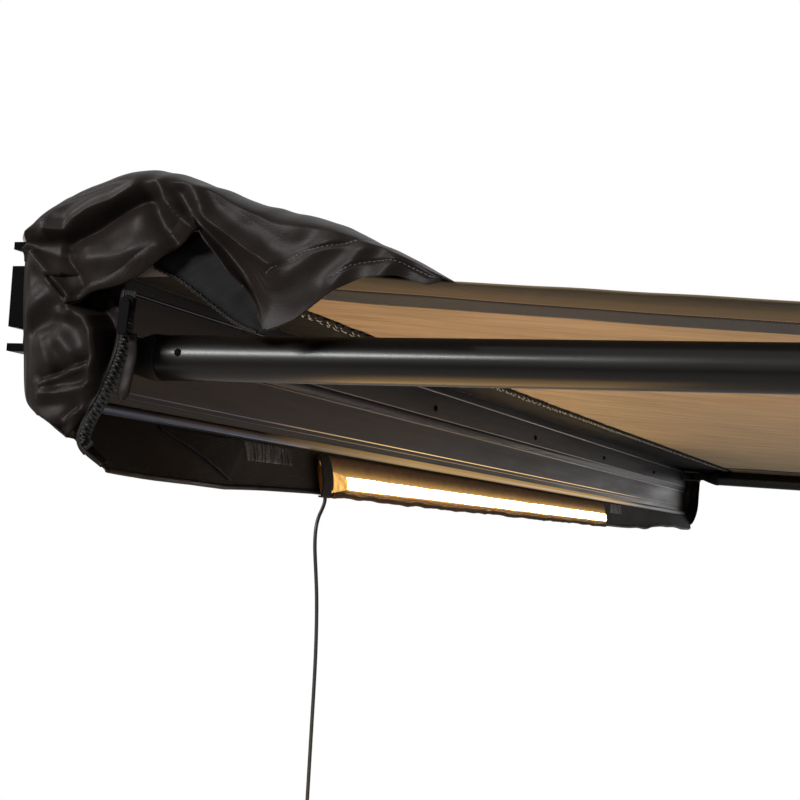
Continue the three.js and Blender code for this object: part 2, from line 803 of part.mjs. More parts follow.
function lowerFlap() {
  const flap = sheet(shares(40), shares(3), (u, v) =>
    lowerFlapPoint(mix(-1, 1, u) * (halfLength + clearance), v), flapBehind);
  return join(flap, welt(lowerBeadY, beadHeight, lowerBeadTurn, lowerFlapNeck, bagSheet));
}

// End gusset: a bulging panel in (Y, Z) between the extrusion's end and the open front edge
const gussetWall = halfLength + gussetStandoff + capThickness;
const gussetRear = plateDepth / 2;
const gussetTop = plateTop + 2 * beadRadius;
const gussetFoot = beadHeight - weltBore;

// The gusset's front edge, straight between the rows of its grid
function frontEdge(points, v) {
  const line = smoothLine(points);
  const row = Math.min(Math.floor(v * gussetRows), gussetRows - 1);
  return line.getPoint(row / gussetRows)
    .lerp(line.getPoint((row + 1) / gussetRows), v * gussetRows - row);
}

function endGusset(side, frontPoints) {
  return sheet(shares(8), shares(gussetRows), (u, v) => {
    const edge = frontEdge(frontPoints, v);
    const rearZ = mix(gussetFoot, gussetTop, v);
    const bulge = gussetBulge * Math.sin(Math.PI * u) * Math.sin(Math.PI * v);
    const x = side * (gussetWall + bulge);
    return [x, mix(gussetRear, edge.y, u), mix(rearZ, edge.z, ramp(u))];
  }, [side * bagSheet, 0, 0]);
}

// Half of the zip: a toothed tape that stands off the near gusset's front edge
function zipTape() {
  return sheet(shares(zipTurns), [0, 1], (u, v) => {
    const at = frontEdge(zipLineNear, mix(zipStartShare, zipEndShare, u));
    const tooth = Math.round(u * zipTurns) % 2 ? zipToothShare * zipWidth : 0;
    return [gussetWall, at.y + zipGap + (zipWidth - tooth) * v, at.z];
  }, [zipThickness, 0, 0]);
}

// Slider at the top of the straight stretch of the zip, and its pull hinged at its upper end
const zipTop = zipLineNear[4];
const zipFoot = zipLineNear[3];
const zipTilt = Math.atan2(zipTop[0] - zipFoot[0], zipTop[1] - zipFoot[1]);

function zipSlider() {
  const [half, end] = [sliderWidth / 2, sliderLength / 2];
  const outline = [
    [-half, -end / 2], [-half / 2, -end], [half / 2, -end], [half, -end / 2],
    [half, end * 2 / 3], [0, end], [-half, end * 2 / 3],
  ];
  return prismX(outline, 0, sliderThickness);
}

function zipPull() {
  const radius = pullWidth / 2;
  const top = pullThickness / 2 - radius;
  const outline = [
    ...arc(0, top, radius, 0, 180, smallSteps / 2),
    ...arc(0, top + pullWidth - pullLength, radius, 180, 360, smallSteps / 2),
  ];
  return prismX(outline, 0, pullThickness);
}

// A place in (Y, Z) by its distance down the lower flap's middle stretch and off its inner side
const flapFall = new THREE.Vector2(flapEdgeMiddle[0] - flapRoot[0],
  flapEdgeMiddle[1] - flapRoot[1]).normalize();

function onFlap(down, off) {
  return [flapRoot[0] + down * flapFall.x - off * flapFall.y,
    flapRoot[1] + down * flapFall.y + off * flapFall.x];
}

const flapBox = (down0, down1, off0, off1) =>
  [onFlap(down0, off0), onFlap(down1, off0), onFlap(down1, off1), onFlap(down0, off1)];

const pouchFoot = pouchTop + pouchHeight;

// Pouch along the flap's inner side: a sleeve open at both ends
function ledPouch() {
  const outline = flapBox(pouchTop, pouchFoot, clearance, clearance + pouchDepth);
  const hole = flapBox(pouchTop + pouchWall, pouchFoot - pouchWall, clearance + pouchWall,
    clearance + pouchDepth - pouchWall);
  return prismX(outline, stripFar, stripNear, [hole]);
}

function ledStrip() {
  const foot = pouchFoot - pouchWall - stripRise;
  const back = clearance + pouchWall + clearance;
  return prismX(flapBox(foot - stripHeight, foot, back, back + stripThickness),
    stripFar + bagSheet, stripNear - bagSheet);
}

// A patch on the lower flap's inner side
function flapPatch(centre, length, height, gap) {
  const top = flapRoot[1] - tapeDrop;
  const share = (z) => (flapRoot[1] - z) / (flapRoot[1] - flapEdgeMiddle[1]);
  return sheet(shares(4), shares(2), (u, v) => {
    const x = mix(centre - length / 2, centre + length / 2, u);
    const place = lowerFlapPoint(x, share(mix(top, top - height, v)));
    return [x, place[1] + gap, place[2]];
  }, [0, tapeThickness, 0]);
}

// Lead: down out of its relief in a slow bow, then a tied coil that hangs just below
const cordX = stripNear + clearance + reliefDiameter / 2;
const [cordY, reliefMiddle] = onFlap(pouchFoot - reliefLength / 2, reliefStandoff);
const cordTop = reliefMiddle - reliefLength / 2 - clearance;
const cordRoute = [
  [0, 0, 0], [0.6, -0.2, -5], [3.4, -1, -11], [7.4, -2.2, -18], [10, -2.9, -26], [10.9, -3.1, -35],
  [10.3, -3, -46], [8.4, -2.6, -58], [6, -2, -72], [3.8, -1.3, -88], [2.1, -0.8, -106],
  [0.9, -0.4, -126], [0.3, -0.1, -148], [0, 0, -172], [0, 0, -198], [0, 0, -224], [0, 0, -250],
  [0, 0, -274], [0, 0, -294], [0, 0, -308], [0, 0, -318], [0, 0, -326],
];
const cordFoot = cordRoute[cordRoute.length - 1];

function freeCord() {
  const curve = new THREE.CatmullRomCurve3(cordRoute.map(([x, y, z]) =>
    new THREE.Vector3(cordX + x, cordY + y, cordTop + z)));
  const section = shapeOf(circle(cordDiameter / 2, cordSides));
  return new THREE.ExtrudeGeometry(section, { steps: 36, extrudePath: curve, curveSegments: 1 });
}

// Coil: four flat layers that spiral in and out, climbing half a turn where the spiral turns
// back, with a straight run out to the plug
const turnsPerLayer = coilTurns / coilLayers;
const coilReversals = shares(coilLayers).slice(1, -1).map((share) => share * coilTurns);
const coilHalfDepth = (turnsPerLayer * coilPitch) / 2;
const coilOuter = coilDiameter / 2 + coilHalfDepth;
const coilHalfStack = ((coilLayers - 1) * coilPitch) / 2;
const coilCentre = [cordX + cordFoot[0] - coilOuter, cordY + cordFoot[1] + coilHalfStack,
  cordTop + cordFoot[2] - clearance - cordDiameter];

function coilPoints() {
  const points = [];
  for (let i = 0; i <= coilTurns * coilSteps; i += 1) {
    const turn = i / coilSteps;
    const layer = Math.min(Math.floor(turn / turnsPerLayer), coilLayers - 1);
    const within = turn / turnsPerLayer - layer;
    const inward = layer % 2 === 0 ? within : 1 - within;
    const climb = coilReversals.reduce((sum, at) => sum + ramp(2 * (turn - at) + 1 / 2), 0);
    const radius = coilOuter - 2 * coilHalfDepth * inward;
    const angle = -turn * 2 * Math.PI;
    points.push(new THREE.Vector3(
      coilCentre[0] + radius * Math.cos(angle),
      coilCentre[1] + climb * coilPitch - coilHalfStack,
      coilCentre[2] + radius * Math.sin(angle)));
  }
  const [first, last] = [points[0], points[points.length - 1]];
  const down = (point, drop) => new THREE.Vector3(point.x, point.y, point.z - drop);
  return [down(first, -cordDiameter), ...points, down(last, coilTail / 2), down(last, coilTail)];
}

// Band round the coil's turns at its top
function coilTie() {
  const gap = cordDiameter / 2 + 2 * clearance;
  const [y, z] = [coilHalfStack + gap, coilHalfDepth + gap];
  const hole = rectangle(-y, y, -z, z);
  const ring = rectangle(-y - tieWall, y + tieWall, -z - tieWall, z + tieWall);
  return prismX(ring, -tieWidth / 2, tieWidth / 2, [hole])
    .translate(coilCentre[0], coilCentre[1], coilCentre[2] + coilDiameter / 2);
}

// Low-voltage plug, built downwards from the cord's end along -Y and then turned to hang
function cordPlug() {
  const [body, barrel] = [plugDiameter / 2, plugBarrel / 2];
  return turned([
    [0, 0], [cordDiameter / 2 + clearance, 0], [body, plugBody / 3], [body, plugBody],
    [barrel, plugBody], [barrel, plugBody + plugBarrelLength], [0, plugBody + plugBarrelLength],
  ], smallSteps).rotateX(-Math.PI / 2);
}

// Moulded relief at the pouch's corner, tapered down to the cord
function cordRelief() {
  return turned([
    [0, 0], [reliefDiameter / 2, 0], [reliefDiameter / 2, reliefLength / 2],
    [cordDiameter / 2 + clearance, reliefLength], [0, reliefLength],
  ], smallSteps).rotateX(-Math.PI / 2);
}

// A tube of a few sides along points, closed at both ends, its first and last runs straight
function tubeAlong(points, radius, sides) {
  const rings = [];
  const aside = new THREE.Vector3(0, 1, 0);
  points.forEach((point, i) => {
    const before = points[Math.max(i - 1, 0)];
    const after = points[Math.min(i + 1, points.length - 1)];
    const along = after.clone().sub(before).normalize();
    const out = aside.clone().cross(along).normalize();
    const up = along.clone().cross(out).normalize();
    const ring = [];
    for (let k = 0; k < sides; k += 1) {
      const angle = (k / sides) * 2 * Math.PI;
      ring.push(point.clone()
        .addScaledVector(out, radius * Math.cos(angle))
        .addScaledVector(up, radius * Math.sin(angle)));
    }
    rings.push(ring);
  });
  const flat = rings.flat().flatMap((p) => [p.x, p.y, p.z]);
  const faces = [];
  for (let i = 0; i + 1 < rings.length; i += 1) {
    for (let k = 0; k < sides; k += 1) {
      const [a, b] = [i * sides + k, i * sides + ((k + 1) % sides)];
      faces.push(a, b, b + sides, a, b + sides, a + sides);
    }
  }
  const last = (rings.length - 1) * sides;
  for (let k = 1; k + 1 < sides; k += 1) {
    faces.push(0, k + 1, k, last, last + k, last + k + 1);
  }
  const geometry = new THREE.BufferGeometry();
  geometry.setAttribute('position', new THREE.Float32BufferAttribute(flat, 3));
  geometry.setIndex(faces);
  return outward(geometry);
}

// Least gap between the coil's own turns, on its points
function coilGap(points) {
  let least = Infinity;
  for (let i = 0; i < points.length; i += 1) {
    for (let j = i + coilSteps * 3 / 4; j < points.length; j += 1) {
      least = Math.min(least, points[i].distanceTo(points[j]));
    }
  }
  return least - cordDiameter;
}

// The whole awning
const group = new THREE.Group();

function add(name, geometry, material, parent = group) {
  const mesh = new THREE.Mesh(geometry, material);
  mesh.name = name;
  parent.add(mesh);
  return mesh;
}

function addArm(end, side, height, face, lean) {
  const mount = new THREE.Group();
  mount.position.set(side * armX, armPivotReach, height);
  group.add(mount);
  add(`arm_bracket_${end}`, armBracket(face), anodised, mount);
  const arm = new THREE.Group();
  arm.rotation.x = -lean;
  mount.add(arm);
  add(`arm_hinge_pin_${end}`, hingePin(), steel, arm);
  add(`arm_knuckle_${end}`, armKnuckle(), mouldedBlack, arm);
  add(`arm_outer_tube_${end}`, armOuter(), armBlack, arm);
  add(`arm_inner_tube_${end}`, armInner(), innerAlloy, arm);
  add(`arm_twist_lock_${end}`, twistLock(armTube, armInnerTube, armOuterEnd), mouldedBlack, arm);
  add(`arm_tip_${end}`, armTip(), mouldedBlack, arm);
}

function addLeg(end, side) {
  const leg = new THREE.Group();
  leg.position.set(side * legX, railMiddle, legPivotHeight);
  group.add(leg);
  add(`leg_hinge_pin_${end}`, legPin(), steel, leg);
  const shank = new THREE.Group();
  shank.rotation.x = -Math.PI / 2;
  leg.add(shank);
  add(`leg_head_${end}`, legHead(), mouldedBlack, shank);
  add(`leg_outer_tube_${end}`, legOuter(), armBlack, shank);
  add(`leg_inner_tube_${end}`, legInner(), innerAlloy, shank);
  add(`leg_twist_lock_${end}`, twistLock(legTube, legInnerTube, legOuterEnd), mouldedBlack,
    shank);
  add(`leg_foot_${end}`, legFoot(), soleRubber, shank);
}

add('backing_extrusion', backingExtrusion(), anodised);
add('end_cap_near', endCap(1), mouldedBlack);
add('end_cap_far', endCap(-1), mouldedBlack);
addArm('near', 1, nearArmHeight, skirtFace, 0);
addArm('far', -1, farArmHeight, plateDepth, farLean);
add('front_rail', frontRail(), anodised);
add('rail_cap_near', railCap(1), mouldedBlack);
add('rail_cap_far', railCap(-1), mouldedBlack);
addLeg('near', 1);
addLeg('far', -1);
add('canopy_header', canopyHeader(), bagInner);
add('canopy', canopyCloth(), canopyTan);
add('canopy_webbing_near', canopyWebbing(1), webbingGrey);
add('canopy_webbing_far', canopyWebbing(-1), webbingGrey);
add('bag_top_flap', topFlap(), bagBlack);
add('bag_lower_flap', lowerFlap(), bagInner);
add('bag_end_near', endGusset(1, zipLineNear), bagBlack);
add('bag_end_far', endGusset(-1, farGussetLine), bagBlack);
add('led_pouch', ledPouch(), pouchBrown);
add('led_strip', ledStrip(), stripWhite);
add('hook_tape_near', flapPatch(nearTapeCentre, tapeLength, tapeHeight, tapeGap), tapeGrey);
add('hook_tape_far', flapPatch(farTapeCentre, tapeLength, tapeHeight, tapeGap), tapeGrey);
add('tie_strap', flapPatch(strapCentre, strapLength, strapHeight, strapGap), webbingGrey);
add('bag_zip', zipTape(), zipBlack);

const zip = new THREE.Group();
zip.position.set(gussetWall + zipThickness + clearance,
  zipTop[0] + zipGap + zipWidth / 2 + sliderOffset, zipTop[1]);
zip.rotation.x = -zipTilt;
group.add(zip);
add('zip_slider', zipSlider().translate(0, 0, -sliderLength / 2), steel, zip);
add('zip_pull', zipPull().translate(sliderThickness + clearance * 2, 0, -sliderLength / 4), steel,
  zip);

const turns = coilPoints();
console.log(`coil: least gap between turns ${coilGap(turns).toFixed(2)} mm`);
add('cord_relief', cordRelief().translate(cordX, cordY, cordTop + clearance + reliefLength),
  cordBlack);
add('cord', freeCord(), cordBlack);
add('cord_coil', tubeAlong(turns, cordDiameter / 2, coilSides), cordBlack);
add('cord_tie', coilTie(), cordBlack);
const plugTop = turns[turns.length - 1];
add('cord_plug', cordPlug().translate(plugTop.x, plugTop.y, plugTop.z - clearance), cordBlack);

export default group;
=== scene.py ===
"""Looks of the vehicle side awning: opened bag, canopy, light strip and small hardware"""
import json
from math import cos, exp, hypot, inf, pi, radians, sin

import bmesh
import bpy
from mathutils import Matrix, Vector, noise


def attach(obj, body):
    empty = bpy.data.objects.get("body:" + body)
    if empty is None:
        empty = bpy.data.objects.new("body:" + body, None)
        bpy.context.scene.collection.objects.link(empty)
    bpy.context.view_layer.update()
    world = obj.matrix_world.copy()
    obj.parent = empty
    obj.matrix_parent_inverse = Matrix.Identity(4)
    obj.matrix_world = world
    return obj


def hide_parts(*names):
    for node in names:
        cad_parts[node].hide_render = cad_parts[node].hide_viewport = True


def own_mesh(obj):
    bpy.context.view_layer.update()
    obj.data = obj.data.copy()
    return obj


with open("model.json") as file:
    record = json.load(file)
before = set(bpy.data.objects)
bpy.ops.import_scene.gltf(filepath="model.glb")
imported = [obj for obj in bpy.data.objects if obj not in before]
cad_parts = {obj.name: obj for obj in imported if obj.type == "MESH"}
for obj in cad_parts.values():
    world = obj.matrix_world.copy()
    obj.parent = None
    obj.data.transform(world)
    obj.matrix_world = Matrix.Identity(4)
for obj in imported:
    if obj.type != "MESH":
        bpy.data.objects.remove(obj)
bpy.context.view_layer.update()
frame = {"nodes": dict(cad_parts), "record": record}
nodes = frame["nodes"]
scene = bpy.context.scene

# Sizes of the awning in millimetres, as the CAD has them
MM = 0.001
HALF_LENGTH = 1250
PLATE_DEPTH = 24
CANOPY_REACH = 2030
CANOPY_SLOT = 31
RAIL_HEM = -9.5
NEAR_ARM = -35
ARM_RADIUS = 15
CLOTH = 1.2
HEADER_END = 120
SOLE = -1968

# Ways in the frame: X along the awning, Y out from the vehicle, Z up
TO_NEAR, TO_FAR, OUTWARD, UP, DOWN = (1, 0, 0), (-1, 0, 0), (0, 1, 0), (0, 0, 1), (0, 0, -1)


# ---- camera
def make_camera():
    """As solved from the photo's two vanishing points"""
    camera = bpy.data.cameras.new("camera")
    camera.lens = 72
    camera.sensor_width = 36
    obj = bpy.data.objects.new("camera", camera)
    right, up, back = (-.3350, .9406, .0555), (.0972, -.0241, .9950), (.9372, .3387, -.0834)
    turn = Matrix((right, up, back)).transposed().to_4x4()
    obj.matrix_world = Matrix.Translation((2.145, .597, -.141)) @ turn
    scene.collection.objects.link(obj)
    scene.camera = obj


make_camera()


# ---- finishes
def ink(red, green, blue):
    """A colour as it is seen on screen, made linear"""
    def straight(c):
        c /= 255
        return c / 12.92 if c <= .04045 else ((c + .055) / 1.055) ** 2.4
    return straight(red), straight(green), straight(blue), 1


def feed(tree, socket, value):
    """Links a socket to another node's output, or sets its value"""
    if isinstance(value, bpy.types.NodeSocket):
        tree.links.new(value, socket)
    else:
        socket.default_value = value


def wire(tree, kind, inputs=(), **settings):
    """A new shader node with its inputs fed"""
    made = tree.nodes.new("ShaderNode" + kind)
    for key, value in settings.items():
        setattr(made, key, value)
    for key, value in dict(inputs).items():
        feed(tree, made.inputs[key], value)
    return made


# Sockets of a Mix node that mixes colours
MIX_SHARE, MIX_DARK, MIX_LIGHT, MIX_COLOUR = 0, 6, 7, 2


class Finish:
    """A material of nodes on one Principled shader"""

    def __init__(self, name, colour, roughness, metallic=0.0, specular=.5):
        self.material = bpy.data.materials.new(name)
        self.material.use_nodes = True
        self.tree = self.material.node_tree
        self.shader = self.tree.nodes["Principled BSDF"]
        self.set("Base Color", ink(*colour))
        self.set("Roughness", roughness)
        self.set("Metallic", metallic)
        self.set("Specular IOR Level", specular)
        self.normal = None

    def set(self, socket, value):
        feed(self.tree, self.shader.inputs[socket], value)

    def node(self, kind, inputs=(), **settings):
        return wire(self.tree, kind, inputs, **settings)

    def place(self, kind="Object", stretch=(1, 1, 1), turn=(0, 0, 0)):
        source = self.node("TexCoord").outputs[kind]
        return self.node("Mapping", {"Vector": source, "Scale": stretch, "Rotation": turn}
                         ).outputs["Vector"]

    def cloud(self, where, scale, detail=3, rough=.55):
        return self.node("TexNoise", {"Vector": where, "Scale": scale, "Detail": detail,
                                      "Roughness": rough}).outputs["Fac"]

    def bands(self, where, pitch, axis="X", distortion=0.0):
        """Ridges `pitch` metres apart"""
        return self.node("TexWave", {"Vector": where, "Scale": pi / (10 * pitch),
                                     "Distortion": distortion, "Detail": 1},
                         bands_direction=axis).outputs["Fac"]

    def cells(self, where, scale):
        return self.node("TexVoronoi", {"Vector": where, "Scale": scale}).outputs["Distance"]

    def sums(self, operation, a, b):
        return self.node("Math", {0: a, 1: b}, operation=operation).outputs[0]

    def times(self, a, b):
        return self.sums("MULTIPLY", a, b)

    def glow(self, colour, strength):
        self.set("Emission Color", colour)
        self.set("Emission Strength", strength)

    def fit(self, value, low, high, start=0.0, end=1.0):
        """`value` between start and end, carried over to between low and high"""
        return self.node("MapRange", {"Value": value, "From Min": start, "From Max": end,
                                      "To Min": low, "To Max": high}).outputs["Result"]

    def axis(self, where, name):
        return self.node("SeparateXYZ", {0: where}).outputs[name]

    def tints(self, share, dark, light):
        return self.node("Mix", {MIX_SHARE: share, MIX_DARK: dark, MIX_LIGHT: light},
                         data_type="RGBA").outputs[MIX_COLOUR]

    def colours(self, share, dark, light):
        self.set("Base Color", self.tints(share, ink(*dark), ink(*light)))

    def raised(self, height, distance, strength=1.0):
        """Bump on top of what bump there is, `distance` in metres"""
        more = {"Normal": self.normal} if self.normal else {}
        self.normal = self.node("Bump", {"Height": height, "Distance": distance,
                                         "Strength": strength, **more}).outputs["Normal"]
        self.set("Normal", self.normal)


def vinyl():
    """Coated bag cloth: fine grain, soft creases and a duller bloom in patches"""
    made = Finish("bag_vinyl", (18, 14, 13), .42, specular=.04)
    where = made.place()
    patches = made.cloud(where, 14, 4)
    made.colours(patches, (12, 9, 8), (26, 22, 20))
    made.set("Roughness", made.fit(made.cloud(where, 45, 4), .34, .5))
    made.raised(made.cloud(where, 34, 3), .0016, .4)
    made.raised(made.cells(where, 1100), .00012, .5)
    return made


def scrim():
    """Inner side of the bag's cloth: a black net bonded to a brown-black backing"""
    made = Finish("bag_scrim", (22, 20, 19), .7, specular=.15)
    where = made.place("UV")
    net = made.sums("MAXIMUM", made.bands(where, .0016, "X"), made.bands(where, .0016, "Y"))
    worn = made.cloud(where, 9, 4)
    ground = made.tints(worn, ink(12, 11, 10), ink(26, 23, 21))
    made.set("Base Color", made.tints(made.fit(net, 0, 1, .6, .95), ground, ink(42, 38, 35)))
    made.raised(net, .0003, .8)
    made.raised(made.cloud(where, 22, 3), .002, .5)
    return made


def canvas(name, dark, light, pitch=.0011, wrinkle=.0016, edge=None):
    """Plain woven polyester: two crossing sets of threads, slubs and pulled wrinkles"""
    made = Finish(name, light, .8, specular=.12)
    where = made.place("UV")
    warp, weft = made.bands(where, pitch, "X", .6), made.bands(where, pitch, "Y", .6)
    weave = made.times(warp, weft)
    slub = made.cloud(made.place("UV", (260, 9, 1)), 1, 3)
    slant = made.cloud(made.place("UV", (34, 7, 1), (0, 0, .5)), 1, 4, .6)
    made.colours(made.fit(made.sums("ADD", slub, slant), 0, 1, .65, 1.4), dark, light)
    if edge:
        plain = made.shader.inputs["Base Color"].links[0].from_socket
        beside_arm = made.fit(made.axis(where, "X"), 0, 1, 2.406, 2.416)
        made.set("Base Color", made.tints(beside_arm, plain, ink(*edge)))
    made.raised(made.cloud(made.place("UV", (16, 5, 1), (0, 0, .55)), 1, 4, .6), wrinkle * 3, .8)
    made.raised(weave, .0002, .6)
    return made


def webbing(name, dark, light):
    """Ribbed tape: ribs across it, crossed by wider rows"""
    made = Finish(name, light, .74, specular=.15)
    where = made.place("UV")
    ribs = made.times(made.bands(where, .0022, "Y"), made.bands(where, .00396, "X"))
    made.colours(ribs, dark, light)
    made.raised(ribs, .0004, .9)
    return made


def anodised():
    """Dark anodised extrusion: drawn lines along it and a few dull handling marks"""
    made = Finish("anodised_dark", (52, 47, 45), .34, metallic=.9, specular=.3)
    drawn = made.cloud(made.place("Object", (1.2, 900, 900)), 1, 2)
    marks = made.cloud(made.place("Object", (3, 40, 40)), 1, 5)
    made.colours(made.times(drawn, marks), (40, 36, 35), (64, 58, 56))
    made.set("Roughness", made.fit(marks, .28, .5, .3, .7))
    made.raised(drawn, .00005, .5)
    return made


def satin_paint():
    """Powder coat of the arms and legs, rubbed along them"""
    made = Finish("arm_satin_black", (12, 11, 10), .3, specular=.16)
    grain = made.cloud(made.place(), 700, 3)
    marks = made.cloud(made.place("Object", (60, 4, 60)), 1, 5)
    made.colours(marks, (8, 7, 6), (14, 12, 11))
    made.set("Roughness", made.fit(marks, .24, .36, .35, .7))
    made.raised(grain, .00003, .6)
    return made


def moulded(name, dark, light, rough, specular=.08):
    """Moulded plastic, finely pitted"""
    made = Finish(name, light, rough[0], specular=specular)
    where = made.place()
    made.colours(made.cloud(where, 30, 4), dark, light)
    made.set("Roughness", made.fit(made.cloud(where, 80, 3), *rough))
    made.raised(made.cells(where, 1400), .00006, .5)
    return made


def metal(name, dark, light, rough=(.26, .42)):
    """Bare or tinted metal, scuffed in patches"""
    made = Finish(name, light, rough[0], metallic=.95)
    where = made.place()
    scuff = made.cloud(where, 120, 5)
    made.colours(scuff, dark, light)
    made.set("Roughness", made.fit(scuff, *rough))
    made.raised(made.cloud(where, 1500, 2), .00002, .5)
    return made


def painted_edge_highlight(name, near, far, lit):
    """Painted highlight on an edge of the extrusion, lighter or darker along it as light falls
    there; a painted glow where the light strip lies close under it
    """
    made = Finish(name, near, .36, metallic=.95)
    along = made.axis(made.place(), "X")
    # painted highlight: the far colour from the middle of the awning on, the near colour at the
    # near end
    made.colours(made.fit(along, 1, 0, 0, .95), near, far)
    # painted glow of the light strip, along the stretch where the strip lies under this edge
    beside = made.times(made.fit(along, 1, 0, .5, .9), made.fit(along, 0, 1, -.8, -.45))
    made.glow(ink(255, 206, 128), made.times(beside, lit))
    return made


def rubbery(name, colour, dark, light, rough, specular, patches, grain, depth, strength):
    """Soft plastic or rubber; patches and grain are (scale, detail) of their noise"""
    made = Finish(name, colour, rough, specular=specular)
    where = made.place()
    made.colours(made.cloud(where, *patches), dark, light)
    made.raised(made.cloud(where, *grain), depth, strength)
    return made


def hook_pile(name, light):
    """Hook tape: a worn, streaky pile of short hooks"""
    made = Finish(name, light, .95, specular=.1)
    where = made.place()
    streak = made.cloud(made.place("Object", (420, 30, 30)), 1, 4, .6)
    fuzz = made.times(made.cells(where, 700), made.cloud(where, 220, 5, .7))
    worn = made.times(made.fit(fuzz, .4, 1, .05, .4), made.fit(streak, 0, 1, .38, .66))
    made.colours(worn, (20, 20, 21), light)
    made.raised(fuzz, .0012, 1)
    return made


def pouch_net():
    """Brown net of the light strip's pouch, with a painted glow along its foot where the strip
    lies behind it
    """
    made = Finish("pouch_net", (120, 88, 48), .7, specular=.25)
    where = made.place("UV")
    worn = made.fit(made.cloud(where, 120, 3), .5, 1, .35, .6)
    holes = made.times(made.bands(where, .0026, "X"), worn)
    made.colours(made.fit(holes, 0, 1, .2, .7), (62, 43, 26), (116, 82, 49))
    # painted glow: a band along the pouch's foot, where the light strip lies behind the net
    drop = made.axis(where, "Y")
    lit = made.times(made.fit(drop, 0, 1, .006, .0195), made.fit(drop, 1, 0, .0275, .032))
    made.glow(made.tints(lit, ink(110, 74, 34), ink(255, 200, 110)),
              made.times(made.sums("POWER", lit, 3), made.fit(holes, .35, .7, 0, .8)))
    made.raised(holes, .0003, .8)
    return made


def lit_mouth():
    """Cloth of the pouch's opening, with a painted glow of the light strip's light on it"""
    made = Finish("pouch_mouth", (196, 140, 60), .6, specular=.2)
    light = made.cloud(made.place("UV"), 90, 3)
    made.glow(made.tints(light, ink(206, 140, 56), ink(255, 214, 130)),
              made.fit(light, .35, 1.3, .3, .7))
    return made


def lamp_strip():
    """Diodes under a clear sleeve"""
    made = Finish("strip_light", (255, 246, 226), .3)
    diode = made.bands(made.place(), .0167, "X")
    made.colours(diode, (250, 238, 214), (255, 252, 244))
    made.glow(made.tints(diode, ink(255, 206, 130), ink(255, 226, 170)), made.fit(diode, 20, 34))
    return made


def thread(name, dark, light, rough):
    """Twisted sewing thread"""
    made = Finish(name, light, rough, specular=.6)
    where = made.place()
    made.colours(made.cloud(where, 260, 2), dark, light)
    made.raised(made.bands(where, .0007, "DIAGONAL"), .0002, .6)
    return made


VINYL = vinyl()
SCRIM = scrim()
CANVAS = canvas("canopy_canvas", (112, 94, 70), (156, 134, 106), edge=(78, 68, 52))
# Black header cloth, its black made darker still as painted shade
HEADER = canvas("header_canvas", (9, 9, 8), (22, 20, 19), .0013, .0009)
WEB_GREY = webbing("webbing_grey", (34, 34, 36), (58, 58, 61))
WEB_BLACK = webbing("strap_black", (9, 9, 9), (24, 22, 21))
ANODISED = anodised()
PAINT = satin_paint()
MOULDED = moulded("moulded_black", (9, 9, 9), (17, 16, 16), (.5, .66))
CAP = moulded("cap_black", (3, 3, 3), (6, 6, 6), (.75, .85), .012)
ALLOY = metal("tube_grey", (56, 54, 53), (84, 81, 79))
STEEL = metal("steel", (128, 126, 122), (170, 167, 162))
NICKEL = moulded("black_nickel", (4, 4, 4), (9, 9, 9), (.6, .75), .015)
RUBBER = rubbery("sole_rubber", (26, 26, 25), (20, 20, 20), (38, 37, 35), .82, .25, (60, 4),
                 (500, 3), .0002, .6)
PILE = hook_pile("hook_pile", (104, 104, 108))
# A lighter copy of the pile for the far patch: painted light where the lamps leave it dim
PAINTED_LIGHT_PILE = hook_pile("hook_pile_painted_light", (190, 190, 194))
POUCH = pouch_net()
STRIP = lamp_strip()
LIP = canvas("pouch_lip", (40, 27, 17), (74, 52, 32), .0016, .001)
MOUTH = lit_mouth()
INNER = canvas("inner_tape_cloth", (4, 4, 4), (11, 10, 10), .0013, .002)
LINING = canvas("lining_grey", (92, 87, 84), (112, 106, 102), .0012, .0006)
# Darker metal for the extrusion's sloped step: painted shade
SHADE = metal("painted_shade_step", (44, 42, 43), (66, 63, 65), (.4, .55))
# Painted highlights on the extrusion's edges and bead; the last number is the strength of the
# light strip's painted glow on them
UPPER_EDGE_HIGHLIGHT = painted_edge_highlight("upper_edge", (62, 62, 68), (170, 166, 168), .05)
LOWER_EDGE_HIGHLIGHT = painted_edge_highlight("lower_edge", (104, 104, 114), (116, 112, 110), 1.1)
BEAD_HIGHLIGHT = painted_edge_highlight("painted_bead_highlight", (92, 92, 102), (104, 102, 107), .36)
ZIP = moulded("zip_black", (14, 14, 14), (36, 35, 34), (.25, .4))
JACKET = rubbery("cord_jacket", (17, 17, 17), (14, 14, 14), (27, 27, 27), .45, .3, (160, 3),
                 (1800, 2), .00003, .5)
DARK_THREAD = thread("thread_black", (10, 9, 9), (30, 28, 27), .6)
BRIGHT_THREAD = thread("thread_bright", (150, 146, 138), (226, 220, 208), .3)


# ---- modelling helpers
def mix(a, b, share):
    return a + (b - a) * share


def ramp(share):
    share = min(1, max(0, share))
    return share * share * (3 - 2 * share)


def along_line(points, value):
    """Second coordinate of a line of (a, b) points at a given first coordinate"""
    if value <= points[0][0]:
        return points[0][1]
    for (a0, b0), (a1, b1) in zip(points, points[1:]):
        if value <= a1:
            return mix(b0, b1, (value - a0) / (a1 - a0))
    return points[-1][1]


def smooth_line(points, share):
    """Catmull-Rom line through the points at a share of their count"""
    last = len(points) - 1
    place = min(max(share, 0), 1) * last
    i = min(int(place), last - 1)
    t = place - i
    p1, p2 = Vector(points[i]), Vector(points[i + 1])
    p0 = Vector(points[i - 1]) if i else p1 * 2 - p2
    p3 = Vector(points[i + 2]) if i + 2 <= last else p2 * 2 - p1
    return (p1 * 2 + (p2 - p0) * t + (p0 * 2 - p1 * 5 + p2 * 4 - p3) * t ** 2
            + (p1 * 3 - p0 - p2 * 3 + p3) * t ** 3) / 2


def beside(line, share, step=.005):
    """Place on a smooth line in (Y, Z), the way it runs there, and the way to its right"""
    here = smooth_line(line, share)
    run = (smooth_line(line, share + step) - here).normalized()
    return here, run, Vector((run.y, -run.x))


